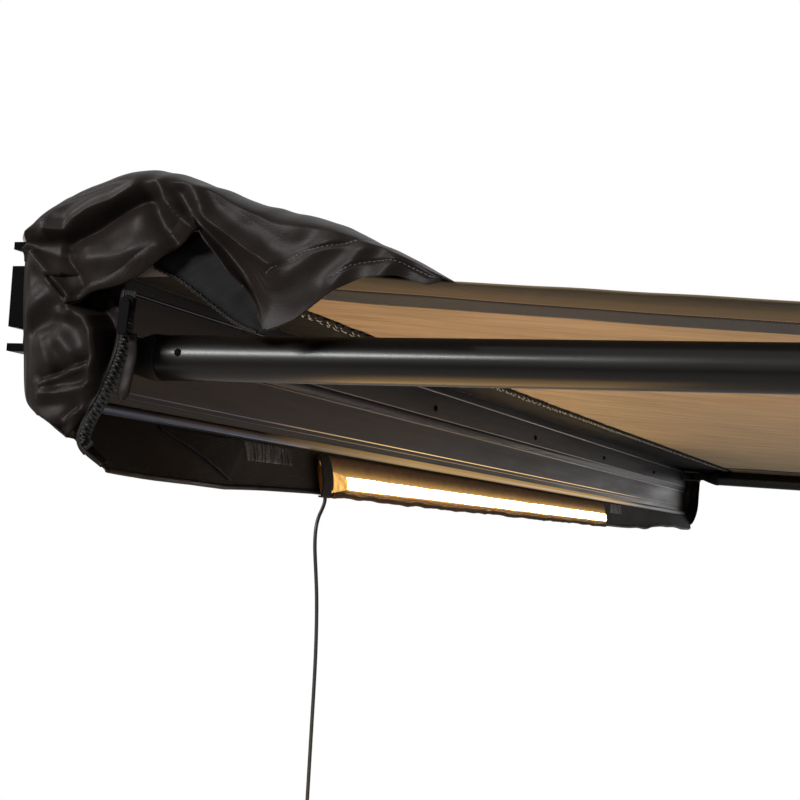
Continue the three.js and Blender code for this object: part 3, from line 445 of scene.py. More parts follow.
def off_line(point, line):
    """Signed distance of a 2D point from a polyline: positive on its left"""
    best, sign = inf, 1
    for a, b in zip(line, line[1:]):
        run = (b[0] - a[0], b[1] - a[1])
        to = (point[0] - a[0], point[1] - a[1])
        size = run[0] ** 2 + run[1] ** 2
        t = min(1, max(0, (to[0] * run[0] + to[1] * run[1]) / size))
        gap = hypot(to[0] - run[0] * t, to[1] - run[1] * t)
        if gap < best:
            best, sign = gap, 1 if run[0] * to[1] - run[1] * to[0] > 0 else -1
    return best * sign


def folds(point, lines):
    """Height of the folds at a 2D point: each is (points, height, width, sharpness)"""
    height = 0
    for line, rise, width, sharp in lines:
        gap = abs(off_line(point, line)) / width
        if gap < 3:
            height += rise * exp(-gap ** sharp)
    return height


def rough(point, scale, depth, seed=0.0):
    """Smooth noise at a place in millimetres, from -depth to depth"""
    return depth * noise.noise(Vector(point) / scale + Vector((seed, seed * 1.7, 0)))


def same(share):
    return share


def laid(across, along, surface, flat, spread_u=same, spread_v=same):
    """A sheet of squares on surface(u, v), in millimetres; its UVs are metres of flat cloth"""
    bm = bmesh.new()
    layer = bm.loops.layers.uv.new("flat")
    bmesh.ops.create_grid(bm, x_segments=across, y_segments=along, size=.5, calc_uvs=True)
    for face in bm.faces:
        for loop in face.loops:
            u, v = loop[layer].uv
            loop[layer].uv = spread_u(u) * flat[0] * MM, spread_v(v) * flat[1] * MM
    for vert in bm.verts:
        u, v = spread_u(vert.co.x + .5), spread_v(vert.co.y + .5)
        vert.co = Vector(surface(u, v)) * MM
    return bm


def eased(bm, passes):
    """Takes the steps out of a sheet's folds; its outline stays"""
    inner = [vert for vert in bm.verts if not vert.is_boundary]
    for _ in range(passes):
        bmesh.ops.smooth_vert(bm, verts=inner, factor=.5, use_axis_x=True, use_axis_y=True,
                              use_axis_z=True)
    return bm


def facing(bm, way):
    """Turns the sheet over if it looks away from `way`"""
    bm.normal_update()
    total = sum((face.normal * face.calc_area() for face in bm.faces), Vector())
    if total.dot(Vector(way)) < 0:
        bmesh.ops.reverse_faces(bm, faces=bm.faces)
    return bm


def closed(bm):
    """A sheet rolled to a tube, sewn up along its length and shut at both ends"""
    bmesh.ops.remove_doubles(bm, verts=bm.verts, dist=1e-6)
    bmesh.ops.holes_fill(bm, edges=bm.edges)
    bmesh.ops.recalc_face_normals(bm, faces=bm.faces)
    return bm


def placed(name, bm):
    """A mesh object in the scene"""
    mesh = bpy.data.meshes.new(name)
    bm.to_mesh(mesh)
    bm.free()
    obj = bpy.data.objects.new(name, mesh)
    scene.collection.objects.link(obj)
    return obj


def points_at(bm, x, outline):
    """Vertices in the plane at `x` from an outline in (Y, Z), in millimetres"""
    return [bm.verts.new((x * MM, y * MM, z * MM)) for y, z in outline]


def piece(name, bm, finish, slot, *stands_for, body="awning_base"):
    """An object of its own that rides on a body and stands for the CAD's nodes named last"""
    obj = placed(name, bm)
    obj.data.materials.append(finish.material)
    obj.data.shade_smooth()
    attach(obj, body)
    if stands_for:
        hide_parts(*stands_for)
    return obj


def thicken(obj, thickness, offset=-1):
    wall = obj.modifiers.new("wall", "SOLIDIFY")
    wall.thickness = thickness * MM
    wall.offset = offset
    return obj


def cloth(name, squares, surface, flat, way, finish, slot, wall, *stands_for, ease=0,
          spread_v=same, offset=-1):
    """A sheet laid, eased, turned to face `way` and given a wall's thickness"""
    bm = facing(eased(laid(*squares, surface, flat, spread_v=spread_v), ease), way)
    return thicken(piece(name, bm, finish, slot, *stands_for), wall, offset)


def corner(name, x, outline, finish):
    """A flat corner of cloth at `x`, its outline in (Y, Z)"""
    bm = bmesh.new()
    bm.faces.new(points_at(bm, x, outline))
    thicken(piece(name, facing(bm, TO_NEAR), finish, "bag_inner"), .8)


def round_edges(obj, width):
    bevel = obj.modifiers.new("edges", "BEVEL")
    bevel.width = width * MM
    bevel.segments = 2
    bevel.limit_method = "ANGLE"
    return bevel


def break_edges(bm, width):
    """A flat bevel of `width` along every edge"""
    bmesh.ops.bevel(bm, geom=bm.edges[:], offset=width * MM, segments=1, profile=.5,
                    affect="EDGES", material=-1)


def box(bm, size, place, turn=None):
    made = bmesh.ops.create_cube(bm, size=1)["verts"]
    bmesh.ops.scale(bm, vec=Vector(size) * MM, verts=made)
    if turn is not None:
        bmesh.ops.rotate(bm, cent=(0, 0, 0), matrix=turn, verts=made)
    bmesh.ops.translate(bm, vec=Vector(place) * MM, verts=made)


def length_of(path):
    return sum((Vector(b) - Vector(a)).length for a, b in zip(path, path[1:]))


def stitches(name, path, pitch, length, width, finish, slot, way, lift=.25, waver=0.0):
    """Short raised stitches along a path of millimetre points, facing `way`"""
    bm = bmesh.new()
    reach = length_of(path)
    place, done = pitch / 2, 0.0
    for a, b in zip(path, path[1:]):
        a, b = Vector(a), Vector(b)
        run = (b - a).length
        along = (b - a) / run
        side = along.cross(Vector(way)).normalized()
        up = side.cross(along).normalized()
        turn = Matrix((along, side, up)).transposed()
        while place < done + run and place < reach:
            at = a + along * (place - done) + up * lift
            at += side * rough((place, 0, 0), 17, waver)
            box(bm, (length, width, width * .8), at, turn)
            place += pitch
        done += run
    break_edges(bm, width * .2)
    return piece(name, bm, finish, slot)


def round_line(name, path, radius, resolution):
    """A curve of round section through millimetre points"""
    curve = bpy.data.curves.new(name, "CURVE")
    curve.dimensions = "3D"
    curve.bevel_depth = radius * MM
    curve.bevel_resolution = resolution
    curve.use_fill_caps = True
    spline = curve.splines.new("POLY")
    spline.points.add(len(path) - 1)
    for point, place in zip(spline.points, path):
        point.co = (*(c * MM for c in place), 1)
    obj = bpy.data.objects.new(name, curve)
    scene.collection.objects.link(obj)
    return obj


def strip_along(name, path, radius, finish, slot, resolution=2):
    """A round bead along millimetre points, made a mesh"""
    temporary = round_line(name, path, radius, resolution)
    mesh = bpy.data.meshes.new_from_object(temporary)
    bpy.data.objects.remove(temporary)
    bm = bmesh.new()
    bm.from_mesh(mesh)
    bpy.data.meshes.remove(mesh)
    return piece(name, bm, finish, slot)


# ---- the light strip's lead
CORD_PLACE = (778.3, 35.24, -111.35)
CORD_RUN = [
    (0, 0, 0), (.6, -.2, -5), (3.4, -1, -11), (7.4, -2.2, -18), (10, -2.9, -26), (10.9, -3.1, -35),
    (10.3, -3, -46), (8.4, -2.6, -58), (6, -2, -72), (3.8, -1.3, -88), (2.1, -.8, -106),
    (.9, -.4, -126), (.3, -.1, -148), (0, 0, -172), (0, 0, -198), (0, 0, -224), (0, 0, -250),
    (0, 0, -274), (0, 0, -294), (0, 0, -308), (0, 0, -318), (0, 0, -326),
]
CORD_SIZE = 3.5
COIL_TURNS = 14
COIL_LAYERS = 4
COIL_ACROSS = 39
COIL_PITCH = 4.1
COIL_STEPS = 24
COIL_TAIL = 24
FREE_STEPS = 60


def coil_points(foot):
    """Four flat layers that spiral in and out, then a straight run down to the plug"""
    per_layer = COIL_TURNS / COIL_LAYERS
    half_depth = per_layer * COIL_PITCH / 2
    outer = COIL_ACROSS / 2 + half_depth
    half_stack = (COIL_LAYERS - 1) * COIL_PITCH / 2
    centre = (foot[0] - outer, foot[1] + half_stack, foot[2] - .3 - CORD_SIZE)
    points = []
    for i in range(COIL_TURNS * COIL_STEPS + 1):
        turn = i / COIL_STEPS
        layer = min(int(turn / per_layer), COIL_LAYERS - 1)
        within = turn / per_layer - layer
        inward = 1 - within if layer % 2 else within
        climb = sum(ramp(2 * (turn - per_layer * k) + .5) for k in range(1, COIL_LAYERS))
        radius = outer - 2 * half_depth * inward
        angle = -turn * 2 * pi
        points.append((centre[0] + radius * cos(angle),
                       centre[1] + climb * COIL_PITCH - half_stack,
                       centre[2] + radius * sin(angle)))
    x, y, z = points[-1]
    return points + [(x, y, z - COIL_TAIL / 2), (x, y, z - COIL_TAIL)]


def make_cord():
    route = [tuple(a + b for a, b in zip(CORD_PLACE, step)) for step in CORD_RUN]
    free = [tuple(smooth_line(route, i / FREE_STEPS)) for i in range(FREE_STEPS + 1)]
    line = free + coil_points(free[-1])
    obj = round_line("lead", line, CORD_SIZE / 2, 4)
    obj.data.materials.append(JACKET.material)
    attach(obj, "awning_base")
    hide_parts("cord", "cord_coil")
    return obj, line


lead, lead_line = make_cord()


# ---- canopy, its webbings and header
def cloth_height(x, y):
    """Height of the canopy's underside: the near edge sags on to the near arm"""
    along = (y - PLATE_DEPTH) / (CANOPY_REACH - PLATE_DEPTH)
    across = x / (2 * HALF_LENGTH) + .5
    straight = mix(CANOPY_SLOT, RAIL_HEM, along) - CLOTH / 2
    hang = 4 * along * (1 - along)
    rest = NEAR_ARM + ARM_RADIUS + 4
    lift = straight - 32 * hang - rest
    near = rest + (lift + hypot(lift, 3)) / 2
    settled = mix(near, straight, ramp((along - .875) * 8))
    belly = 14 * hang * sin(pi * across)
    return mix(straight, settled, ramp(across)) - belly


SEAM_LIFT = CLOTH + .6
CLOTH_START, CLOTH_END = 108, 2027
CLOTH_HALF = 1240
WEBBING_OUT, WEBBING_IN = 1171, 1121


def follows_rail(obj):
    """Gives the cloth a mesh of its own"""
    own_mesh(obj)


def far_drop(x):
    """The far edge of the cloth hangs down a little outside the far arm"""
    return 5.5 * ramp((-1226 - x) / 12)


def cloth_ripple(x, y):
    """Pulled wrinkles: slanted from the header, slack at the two side edges"""
    from_header = exp(-(y - HEADER_END) / 240)
    slant = rough((x + y * .45, y * .16 - x * .05, 0), 30, 1.6, 3) * from_header
    long = rough((x * .8 + y * .3, y * .12, 0), 90, 2.4, 5) * ramp((y - HEADER_END) / 120)
    held = ramp((CLOTH_END - y) / 60) * ramp((y - CLOTH_START) / 25)
    edge = rough((y, 0, 7), 60, 1.4, 9) * exp(-(CLOTH_HALF - abs(x)) / 22)
    return (slant + long + edge) * held


def canopy_place(x, y):
    return x, y, cloth_height(x, y) + SEAM_LIFT + max(-1.5, cloth_ripple(x, y)) + .6 - far_drop(x)


def near_header(v):
    """The squares are shorter near the header, where the wrinkles are"""
    return v ** 1.35


def make_canopy():
    def surface(u, v):
        return canopy_place(mix(-CLOTH_HALF, CLOTH_HALF, u), mix(CLOTH_START, CLOTH_END, v))
    obj = cloth("canopy_cloth", (220, 200), surface, (2 * CLOTH_HALF, CLOTH_END - CLOTH_START),
                UP, CANVAS, "canopy_tan", CLOTH, "canopy", spread_v=near_header)
    follows_rail(obj)


def make_webbing(end, side):
    def surface(u, v):
        x = side * mix(WEBBING_IN, WEBBING_OUT, u)
        y = mix(HEADER_END + .3, CLOTH_END, v)
        crown = .25 * sin(pi * u)
        return x, y, canopy_place(x, y)[2] - CLOTH - .5 - crown
    obj = cloth("webbing_" + end, (8, 200), surface, (50, 1907), DOWN, WEB_GREY, "webbing_grey",
                1.2, "canopy_webbing_" + end, spread_v=near_header)
    follows_rail(obj)


PUCKER = 18


def header_place(x, y):
    """The header band is gathered by its seam, so it puckers there"""
    near = exp(-abs(y - HEADER_END + 6) / 13)
    wave = sin(x * 2 * pi / PUCKER + rough((x, 0, 0), 22, 3, 2))
    pucker = 1.9 * near * wave + rough((x * .7, y * 1.4, 0), 16, 1.3, 4) * near
    slack = rough((x * .4, y, 0), 34, 1.2, 6) * sin(pi * (y - 24) / 96)
    lap = 6 * ramp((-CLOTH_HALF + .5 - x) / 5) + far_drop(x) * ramp((y - 60) / 40)
    return x, y, cloth_height(x, y) + CLOTH / 2 + min(.9, pucker) + slack - lap


def under_header(y, step, gap=0.0):
    """A path along the awning on the header's underside, a point every `step` millimetres"""
    return [(x, y, header_place(x, y)[2] - CLOTH - gap) for x in range(-1236, 1237, step)]


def make_header():
    def surface(u, v):
        x = mix(-CLOTH_HALF - 6, CLOTH_HALF, u)
        return header_place(x, mix(PLATE_DEPTH - 4, HEADER_END, v))
    obj = cloth("header_band", (900, 14), surface, (2486, 100), UP, HEADER, "bag_inner", CLOTH,
                "canopy_header")
    follows_rail(obj)
    for row, y in ((1, 114), (2, 107)):
        follows_rail(stitches(f"header_stitches_{row}", under_header(y, 3), 3.8, 2.7, .62,
                              BRIGHT_THREAD, "bag_inner", DOWN, waver=1.5))
    welt = under_header(32, 12, .2)
    follows_rail(strip_along("header_welt", welt, .45, WEB_GREY, "bag_inner", 1))


make_canopy()
make_webbing("near", 1)
make_webbing("far", -1)
make_header()


# ---- top flap of the bag: its line over the canopy at the near end and at the far end, in (Y, Z)
FLAP_HIGH = [(14, 45.3), (26, 58), (40, 68), (64, 80), (92, 87), (125, 81), (177, 62), (220, 50),
             (250, 35), (276, 24), (300, 12)]
FLAP_LOW = [(14, 45.3), (22, 57), (46, 61), (86, 51), (133, 42.5), (186, 38), (240, 35)]
FLAP_EDGE = 1262
FLAP_INNER = 1236
FLAP_FOLD = 620
# Lower boundary of the flap's near end in (Y, Z): under the gusset, the end panel's hem, then the
# hanging corner
FLAP_FOOT = [(11, 24), (30, 14), (38, 5), (44, -3), (51, -7), (64, 2), (86, 7.5), (99, 14),
             (108, 20.5), (121, 30), (130, 36.5), (140, 41), (153, 24), (164, 12), (171, 6),
             (180, -8), (187, -23), (196, -20), (207, -15.5), (215, -9), (225, -2), (234, 3),
             (244, 8), (251, 11), (272, 11.5), (291, 6), (310, 10)]
# Folds of the near end as (line, rise, width, sharpness)
END_FOLDS = [
    ([(108, 72), (114.7, 60.3), (124.7, 49.8), (140.3, 38.7), (153.1, 25.2), (163.7, 13.1),
      (171, 7)], 9, 4, 1.2),
    ([(132, 74), (137.4, 59.2), (142.5, 47.6), (157.7, 39.1), (174.3, 27.6), (192, 17.4)],
     8, 5, 1.2),
    ([(122, 66), (132, 50), (148, 36), (166, 18), (182, -6)], -6, 5, 1.6),
    ([(12, 35), (22, 32), (42.2, 33), (60.6, 42), (79.3, 53), (98, 62)], -8, 5, 1.5),
    ([(30, 42), (44.1, 41.5), (50.1, 48), (59.8, 54.5), (76.4, 60), (92, 70)], 9, 5, 1.3),
    ([(14, 44), (24, 52), (36, 64), (50, 74)], 4, 7, 1.6),
    ([(104, 60), (112, 44), (122, 34)], -6, 6, 1.6),
    ([(150, 70), (168, 58), (186, 50), (206, 44)], 4, 9, 1.5),
    ([(200, 10), (214, 24), (232, 36)], 3.5, 8, 1.6),
    ([(232, 6), (244, 22), (256, 34)], 3, 6, 1.6),
    ([(262, 12), (272, 24), (280, 26)], 2.5, 6, 1.6),
    ([(62, 22), (90, 27), (110, 33)], 4, 9, 1.8),
    ([(14, 30), (19.8, 25.8), (32.8, 13.3), (41.6, 6.1), (48, -2)], 7, 4, 1.3),
    ([(24, 31), (41.3, 25), (53.4, 13.2), (56, 6), (52, 0)], -5, 4.5, 1.5),
    ([(50, -7), (40, -12), (28, -20), (14, -28)], -4, 9, 1.8),
    ([(31.8, -1), (19.3, -11.5)], 4, 10, 1.8),
    ([(49, -6), (51, -9.4), (62.5, -15.8), (68.3, -24.1), (70.5, -42), (71.1, -60)], 8, 4.5, 1.4),
    ([(40, -11.5), (50, -12.5)], 4, 3.5, 1.5),
    ([(32.7, -58), (49.4, -51.9), (66.2, -46.3)], 6, 2.4, 1.1),
    ([(34, -54), (50, -47), (64, -42)], -5, 4, 1.6),
    ([(33.3, -65.1), (55.4, -62.1), (65.8, -59.9)], 5.5, 3.6, 1.5),
    ([(44, -30), (52, -38), (56, -46)], 4, 7, 1.8),
    ([(30, -30), (38, -46), (36, -60)], 3, 6, 1.8),
    ([(50, -82), (57, -77), (64, -74)], 3.5, 2.4, 1.2),
    ([(46, -88), (52, -80), (58, -72)], -3.5, 4, 1.6),
]
# Edge of the gathered gusset: beyond it the end falls in towards the zip
END_BROW = [(46, -3), (51, -8), (63, -14), (70, -23), (72.5, -42), (73, -56), (71, -64), (66, -72)]
HEM_SEAM = [(171, 3), (185, 11.2), (203, 21.8), (215.5, 27.3), (238.3, 31.2), (249.2, 35)]
EDGE_SEAM = [(230.8, 10.8), (239, 16), (250, 19.6), (261.6, 20.6), (271.9, 20), (292.8, 11)]


def end_relief(y, z):
    """How far the near end's skin stands off its plane: the same folds for flap and gusset"""
    return folds((y, z), END_FOLDS) + rough((y, z, 0), 17, 1.9, 3) - 1.5


def off_cap(x, least):
    """Keeps the skin off the end cap behind it, without a flat in the cloth"""
    return (x + least + hypot(x - least, 3)) / 2


def flap_line(v, lift):
    high, low = smooth_line(FLAP_HIGH, v), smooth_line(FLAP_LOW, v)
    return low.lerp(high, lift)


def flap_place(u, v):
    """u below 1 runs along the awning, and from 1 to 2 down the near end"""
    down = max(0, u - 1)
    x = mix(-FLAP_EDGE, FLAP_INNER, min(u, 1))
    lift = ramp((x - FLAP_INNER + FLAP_FOLD) / FLAP_FOLD)
    y, z = flap_line(v, lift)
    inland = ramp((FLAP_INNER - x) / 90)
    z += rough((x * .5, y, 0), 70, 5, 1) * inland * sin(pi * v)
    z += rough((x, y * 2, 4), 26, 1.4, 2) * sin(pi * v)
    z += 3 * (1 - inland) * sin(pi * v) * sin(v * 9)
    if down:
        foot = along_line(FLAP_FOOT, y)
        drop = max(0, z - foot)
        share = down ** 1.25
        x = mix(FLAP_INNER, FLAP_EDGE, sin(min(1, down * 4) * pi / 2))
        z -= drop * share
        lean = ramp(down * 2)
        x += lean * (end_relief(y, z) + 2 * ramp((y - 140) / 40))
        x -= folds((y, z), [(HEM_SEAM, 1.1, 1.4, 2), (EDGE_SEAM, .9, 1.2, 2)])
        x -= 5 * lean * ramp((56 - y) / 14) * ramp((33 - z) / 7)
        y -= 3.5 * lean * ramp((20 - y) / 6)
        x = mix(x, off_cap(x, GUSSET_WALL + 1), ramp((44 - y) / 8) * ramp(down * 6))
    return x, y, z


GUSSET_WALL = 1254.6
NEAR_SHARE = .42
FLAP_RUN, END_DROP = 2498, 110


def flap_run(share):
    """Half of the squares lie on the near end, and most of the others near it"""
    if share > NEAR_SHARE:
        return 1 + (share - NEAR_SHARE) / (1 - NEAR_SHARE)
    return 1 - (1 - share / NEAR_SHARE) ** 1.7


def make_top_flap():
    bm = laid(250, 190, flap_place, (FLAP_RUN, 330), flap_run)
    layer = bm.loops.layers.uv.active
    for face in bm.faces:
        for loop in face.loops:
            u, v = loop[layer].uv
            extra = u / (FLAP_RUN * MM) - 1
            if extra > 0:
                loop[layer].uv = (FLAP_RUN + extra * END_DROP) * MM, v
    obj = piece("top_flap", facing(eased(bm, 3), UP), VINYL, "bag_black", "bag_top_flap")
    thicken(obj, 1.3)


make_top_flap()


def flap_at(y, z):
    """Place on the flap's near end at (y, z)"""
    low, high = 0.0, 1.0
    for _ in range(24):
        v = (low + high) / 2
        low, high = (v, high) if flap_line(v, 1).x < y else (low, v)
    top, foot = flap_place(1.001, v), flap_place(2, v)
    best = min((flap_place(1 + i / 80, v) for i in range(81)), key=lambda p: abs(p[2] - z))
    return best if foot[2] <= z <= top[2] else (foot if z < foot[2] else top)


for seam, line, steps in (("hem", HEM_SEAM, 40), ("edge", EDGE_SEAM, 30)):
    seam_path = [flap_at(*smooth_line(line, i / steps)) for i in range(steps + 1)]
    stitches(seam + "_stitches", seam_path, 3, 2, .5, DARK_THREAD, "bag_black", TO_NEAR, lift=.2)

# Folded hem along the foot of the near end
END_HEM_LOW = [(49, -7), (64, .8), (86, 6.4), (99, 13), (109, 20), (121, 29), (130, 36), (141, 41)]
END_HEM_TOP = [(47, -2), (62, 7), (80, 14), (92, 21.5), (102, 29), (113, 38), (122, 45), (133, 50)]


def make_end_hem():
    def surface(u, v):
        y, z = smooth_line(END_HEM_LOW, u).lerp(smooth_line(END_HEM_TOP, u), v)
        x = flap_at(y, max(z, along_line(FLAP_FOOT, y) + .4))[0]
        puff = sin(pi * min(1, max(0, v))) ** .5
        return x + .6 + 2.4 * puff + rough((y, z, 0), 9, .5), y, z
    cloth("end_hem", (70, 14), surface, (110, 11), TO_NEAR, VINYL, "bag_black", 1.2)


make_end_hem()

# ---- end gussets: edge of the zip and rear edge of the near one in (Y, Z)
NEAR_ZIP = [(80, -110), (60.5, -92), (75, -58), (84, -32), (86, 0), (88, 40)]
REAR_LINE = [(27, -76), (18.8, -66), (15, -37), (11.5, 0), (10.5, 40)]


def near_gusset_place(u, v):
    edge, rear = smooth_line(NEAR_ZIP, v), smooth_line(REAR_LINE, v)
    y, z = mix(rear.x, edge.x, u), mix(rear.y, edge.y, u ** 1.15)
    hold = min(1, u * 8) * min(1, v * 9)
    inside = ramp(off_line((y, z), END_BROW) / 5) if z < 12 else 0
    to_zip = ramp((u - .86) / .12)
    skin = FLAP_EDGE + hold * end_relief(y, z) - 1.5 - 7 * ramp((z - 27) / 8)
    x = mix(skin, GUSSET_WALL - 13 + rough((y, z, 0), 9, 2, 6), inside)
    x = mix(x, GUSSET_WALL + 2 + rough((z, 0, 0), 11, 1.2, 7), to_zip)
    x -= 7 * (1 - min(1, u * 9)) ** 2
    return mix(x, off_cap(x, GUSSET_WALL + .6), ramp((44 - y) / 8)), y, z


near_gusset = cloth("near_gusset", (130, 170), near_gusset_place, (105, 175), TO_NEAR, VINYL,
                    "bag_black", 1.2, "bag_end_near", ease=3, offset=0)
FAR_EDGE = [(26, -93), (40, -83), (49, -57), (51, -20), (51.5, 10), (49, 30), (42, 46)]


def make_far_gusset():
    def surface(u, v):
        edge = smooth_line(FAR_EDGE, v)
        y, z = mix(12, edge.x, u), mix(mix(-86, 46, v), edge.y, ramp(u))
        bulge = 9 * sin(pi * u) * sin(pi * v)
        hold = min(1, u * 6) * min(1, v * 8, (1 - v) * 8)
        x = GUSSET_WALL + bulge * .8 + hold * rough((y * 1.3, z * .7, 0), 15, 4, 12)
        return -max(x, GUSSET_WALL + .3), y, z
    obj = cloth("far_gusset", (40, 90), surface, (42, 140), TO_FAR, VINYL, "bag_black", 1.4,
                "bag_end_far")


make_far_gusset()

# ---- lower flap: its root and its foot near, midway and far, in (Y, Z)
FLAP_ROOT = (25.82, -69.07)
FLAP_NEAR = (80, -111)
FLAP_MIDDLE = (31.5, -107.5)
FLAP_FAR = (45, -95)
NEAR_TAPE, FAR_TAPE = 890, -535
LOWER_SAG = [(800, 0), (900, 1.6), (1000, 3.8), (1100, 2.6), (1180, 2), (1225, 1), (1250, 0)]


def lower_place(x, v):
    to_near = ramp((x - NEAR_TAPE) / (HALF_LENGTH - NEAR_TAPE))
    to_far = ramp((FAR_TAPE - x) / (HALF_LENGTH + FAR_TAPE))
    y, z = (mix(mix(FLAP_MIDDLE[k], FLAP_NEAR[k], to_near), FLAP_FAR[k], to_far) for k in (0, 1))
    y, z = mix(FLAP_ROOT[0], y, v), mix(FLAP_ROOT[1], z, v)
    slack = rough((x * .35, v * 40, 0), 40, 3, 21) * v + rough((x, v * 60, 0), 30, 1.1, 22) * v
    flare = ramp((x - 1020) / 160) * rough((x, v * 30, 1), 26, 2.5, 23) * v
    corner = ramp((-1190 - x) / 60)
    wave = rough((x, 0, 2), 105, 7, 24) * ramp((-600 - x) / 200) * (1 - .7 * corner)
    sag = along_line(LOWER_SAG, x) - wave - 11 * corner ** 1.5
    return x, y + min(.8, slack) - 1 + flare - 10 * corner * v, z - sag * v


def make_lower_flap():
    def surface(u, v):
        return lower_place(mix(-1, 1, u) * (HALF_LENGTH + .3), v)
    obj = cloth("lower_flap", (460, 26), surface, (2500, 46), OUTWARD, SCRIM, "bag_inner", 1.3,
                "bag_lower_flap")


make_lower_flap()
lower_edge = [lower_place(mix(-1, 1, i / 300) * HALF_LENGTH, 1) for i in range(301)]
strip_along("lower_flap_binding", [(x, y - .4, z + .4) for x, y, z in lower_edge], 2.1, VINYL,
            "bag_black")
zip_foot = [(GUSSET_WALL + 1.2, *smooth_line(NEAR_ZIP, .02 + .2 * i / 30)) for i in range(31)]
strip_along("near_zip_binding", zip_foot, 1.6, VINYL, "bag_black")


# ---- pouch, strip, tapes, strap
STRIP_NEAR, STRIP_FAR = 774.5, -410.5
fall = (Vector(FLAP_MIDDLE) - Vector(FLAP_ROOT)).normalized()


def on_flap(down, off):
    return FLAP_ROOT[0] + down * fall.x - off * fall.y, FLAP_ROOT[1] + down * fall.y + off * fall.x


def pouch_wave(x):
    return rough((x, 0, 0), 34, 2.6, 31) + rough((x, 0, 5), 13, .9, 32)


def make_pouch():
    """Net sleeve, shut at both ends, with a full, wavy lip along its foot"""
    def surface(u, v):
        x = mix(STRIP_FAR, STRIP_NEAR + 14, u)
        turn = v * 2 * pi
        at_foot = max(0, -cos(turn)) ** 2
        down = 23.5 - 19.5 * cos(turn) + pouch_wave(x) * at_foot * .6
        loose = rough((x, down, 9), 28, .3, 33)
        return x, *on_flap(down, 4.9 + 3.3 * sin(turn) + loose)
    piece("light_pouch", closed(laid(300, 28, surface, (1185, 80))), POUCH, "pouch_brown",
          "led_pouch")
    lip = [(x, *on_flap(40.5 + pouch_wave(x) * .7, 6.4 + pouch_wave(x) * .3))
           for x in range(round(STRIP_FAR) + 2, round(STRIP_NEAR) - 1, 4)]
    strip_along("pouch_lip", lip, 3.1, LIP, "pouch_brown")


MOUTH_IN, MOUTH_OUT = 734, 774


def make_mouth():
    """Opening where the strip goes in, with a painted glow, and the dark binding of the pouch's
    near end
    """
    def opening(u, v):
        half = mix(5.4, 10.5, u)
        down = mix(28.5, 29, u) + mix(-half, half, v)
        return mix(MOUTH_IN - 6, MOUTH_OUT, u), *on_flap(down, 9.4 - 1.1 * (2 * v - 1) ** 2)
    cloth("pouch_mouth", (24, 16), opening, (47, 22), OUTWARD, MOUTH, "pouch_brown", .4)

    def binding(u, v):
        turn = mix(-.06, .56, v) * 2 * pi
        down = 23.5 - 20.5 * cos(turn)
        bow = 2.2 * sin(pi * v) * (1 - u)
        return mix(MOUTH_OUT - 1, MOUTH_OUT + 22, u) - bow, *on_flap(down, 5 + 5 * sin(turn))
    cloth("pouch_binding", (8, 30), binding, (22, 60), OUTWARD, WEB_BLACK, "bag_black", 1)


def make_strip():
    """Diodes in a flat clear sleeve that lies in the front of the pouch"""
    def surface(u, v):
        turn = v * 2 * pi
        x = mix(STRIP_FAR + 4, MOUTH_IN, u)
        wide = 5.6 + rough((x, 0, 3), 60, .5, 35)
        return x, *on_flap(28.5 - wide * cos(turn), 8.3 + 1.6 * sin(turn))
    piece("light_strip", closed(laid(300, 18, surface, (1110, 26))), STRIP, "strip_white",
          "led_strip")


TAPE_LENGTH, TAPE_HEIGHT, TAPE_DOWN = 95, 16, 1


def make_patch(end, centre, finish):
    """Hook tape sewn on the lower flap, just under its root"""
    def surface(u, v):
        share = (TAPE_DOWN + TAPE_HEIGHT * v) / (FLAP_ROOT[1] - FLAP_MIDDLE[1])
        x, y, z = lower_place(centre + TAPE_LENGTH * (u - .5), share)
        soft = sin(pi * u) ** .2 * sin(pi * v) ** .2
        return x, y + .6 + (1.1 + rough((x, z * 2, 0), 8, .35, 41)) * soft, z
    cloth("hook_patch_" + end, (60, 14), surface, (TAPE_LENGTH, TAPE_HEIGHT), OUTWARD, finish,
          "tape_grey", 1.3, "hook_tape_" + end)


make_pouch()
make_mouth()
make_strip()
make_patch("near", NEAR_TAPE, PILE)
# The far patch takes the lighter copy of the pile: painted light
make_patch("far", FAR_TAPE, PAINTED_LIGHT_PILE)
STRAP_FAR, STRAP_POINT, STRAP_NEAR = 940, 985, 1092
STRAP_HANG = [(STRAP_FAR, .12), (STRAP_POINT, .86), (STRAP_NEAR, .1)]


def make_strap():
    """Tie strap folded into a triangle, its long edge bound"""
    def surface(u, v):
        x = mix(STRAP_FAR, STRAP_NEAR, u)
        share = mix(.04, along_line(STRAP_HANG, x), v)
        y, z = lower_place(x, share)[1:]
        return x, y + 1.2 + .8 * sin(pi * u) + rough((x, z, 0), 14, .6, 43), z
    cloth("strap_fold", (60, 16), surface, (150, 26), OUTWARD, WEB_BLACK, "webbing_grey", 1.3,
          "tie_strap")
    edge = [surface(mix(.3, 1, i / 40), 1) for i in range(41)]
    strip_along("strap_edge", [(x, y + .6, z) for x, y, z in edge], .8, WEB_GREY, "webbing_grey")


make_strap()


# ---- zip
def tooth(bm, x, at, run, side, size):
    """A tooth at (x, *at), turned to the zip's run and side in (Y, Z)"""
    along, across = Vector((0, *run)), Vector((0, *side))
    turn = Matrix((along, across, along.cross(across).normalized())).transposed()
    box(bm, size, (x, *at), turn)


NEAR_TEETH, INNER_TEETH = 46, 54
# End of the zip's tape, which hangs loose beside it
TAPE_END = [(92, -24), (92.6, -36), (91.6, -48), (90.6, -57), (89, -67.5)]


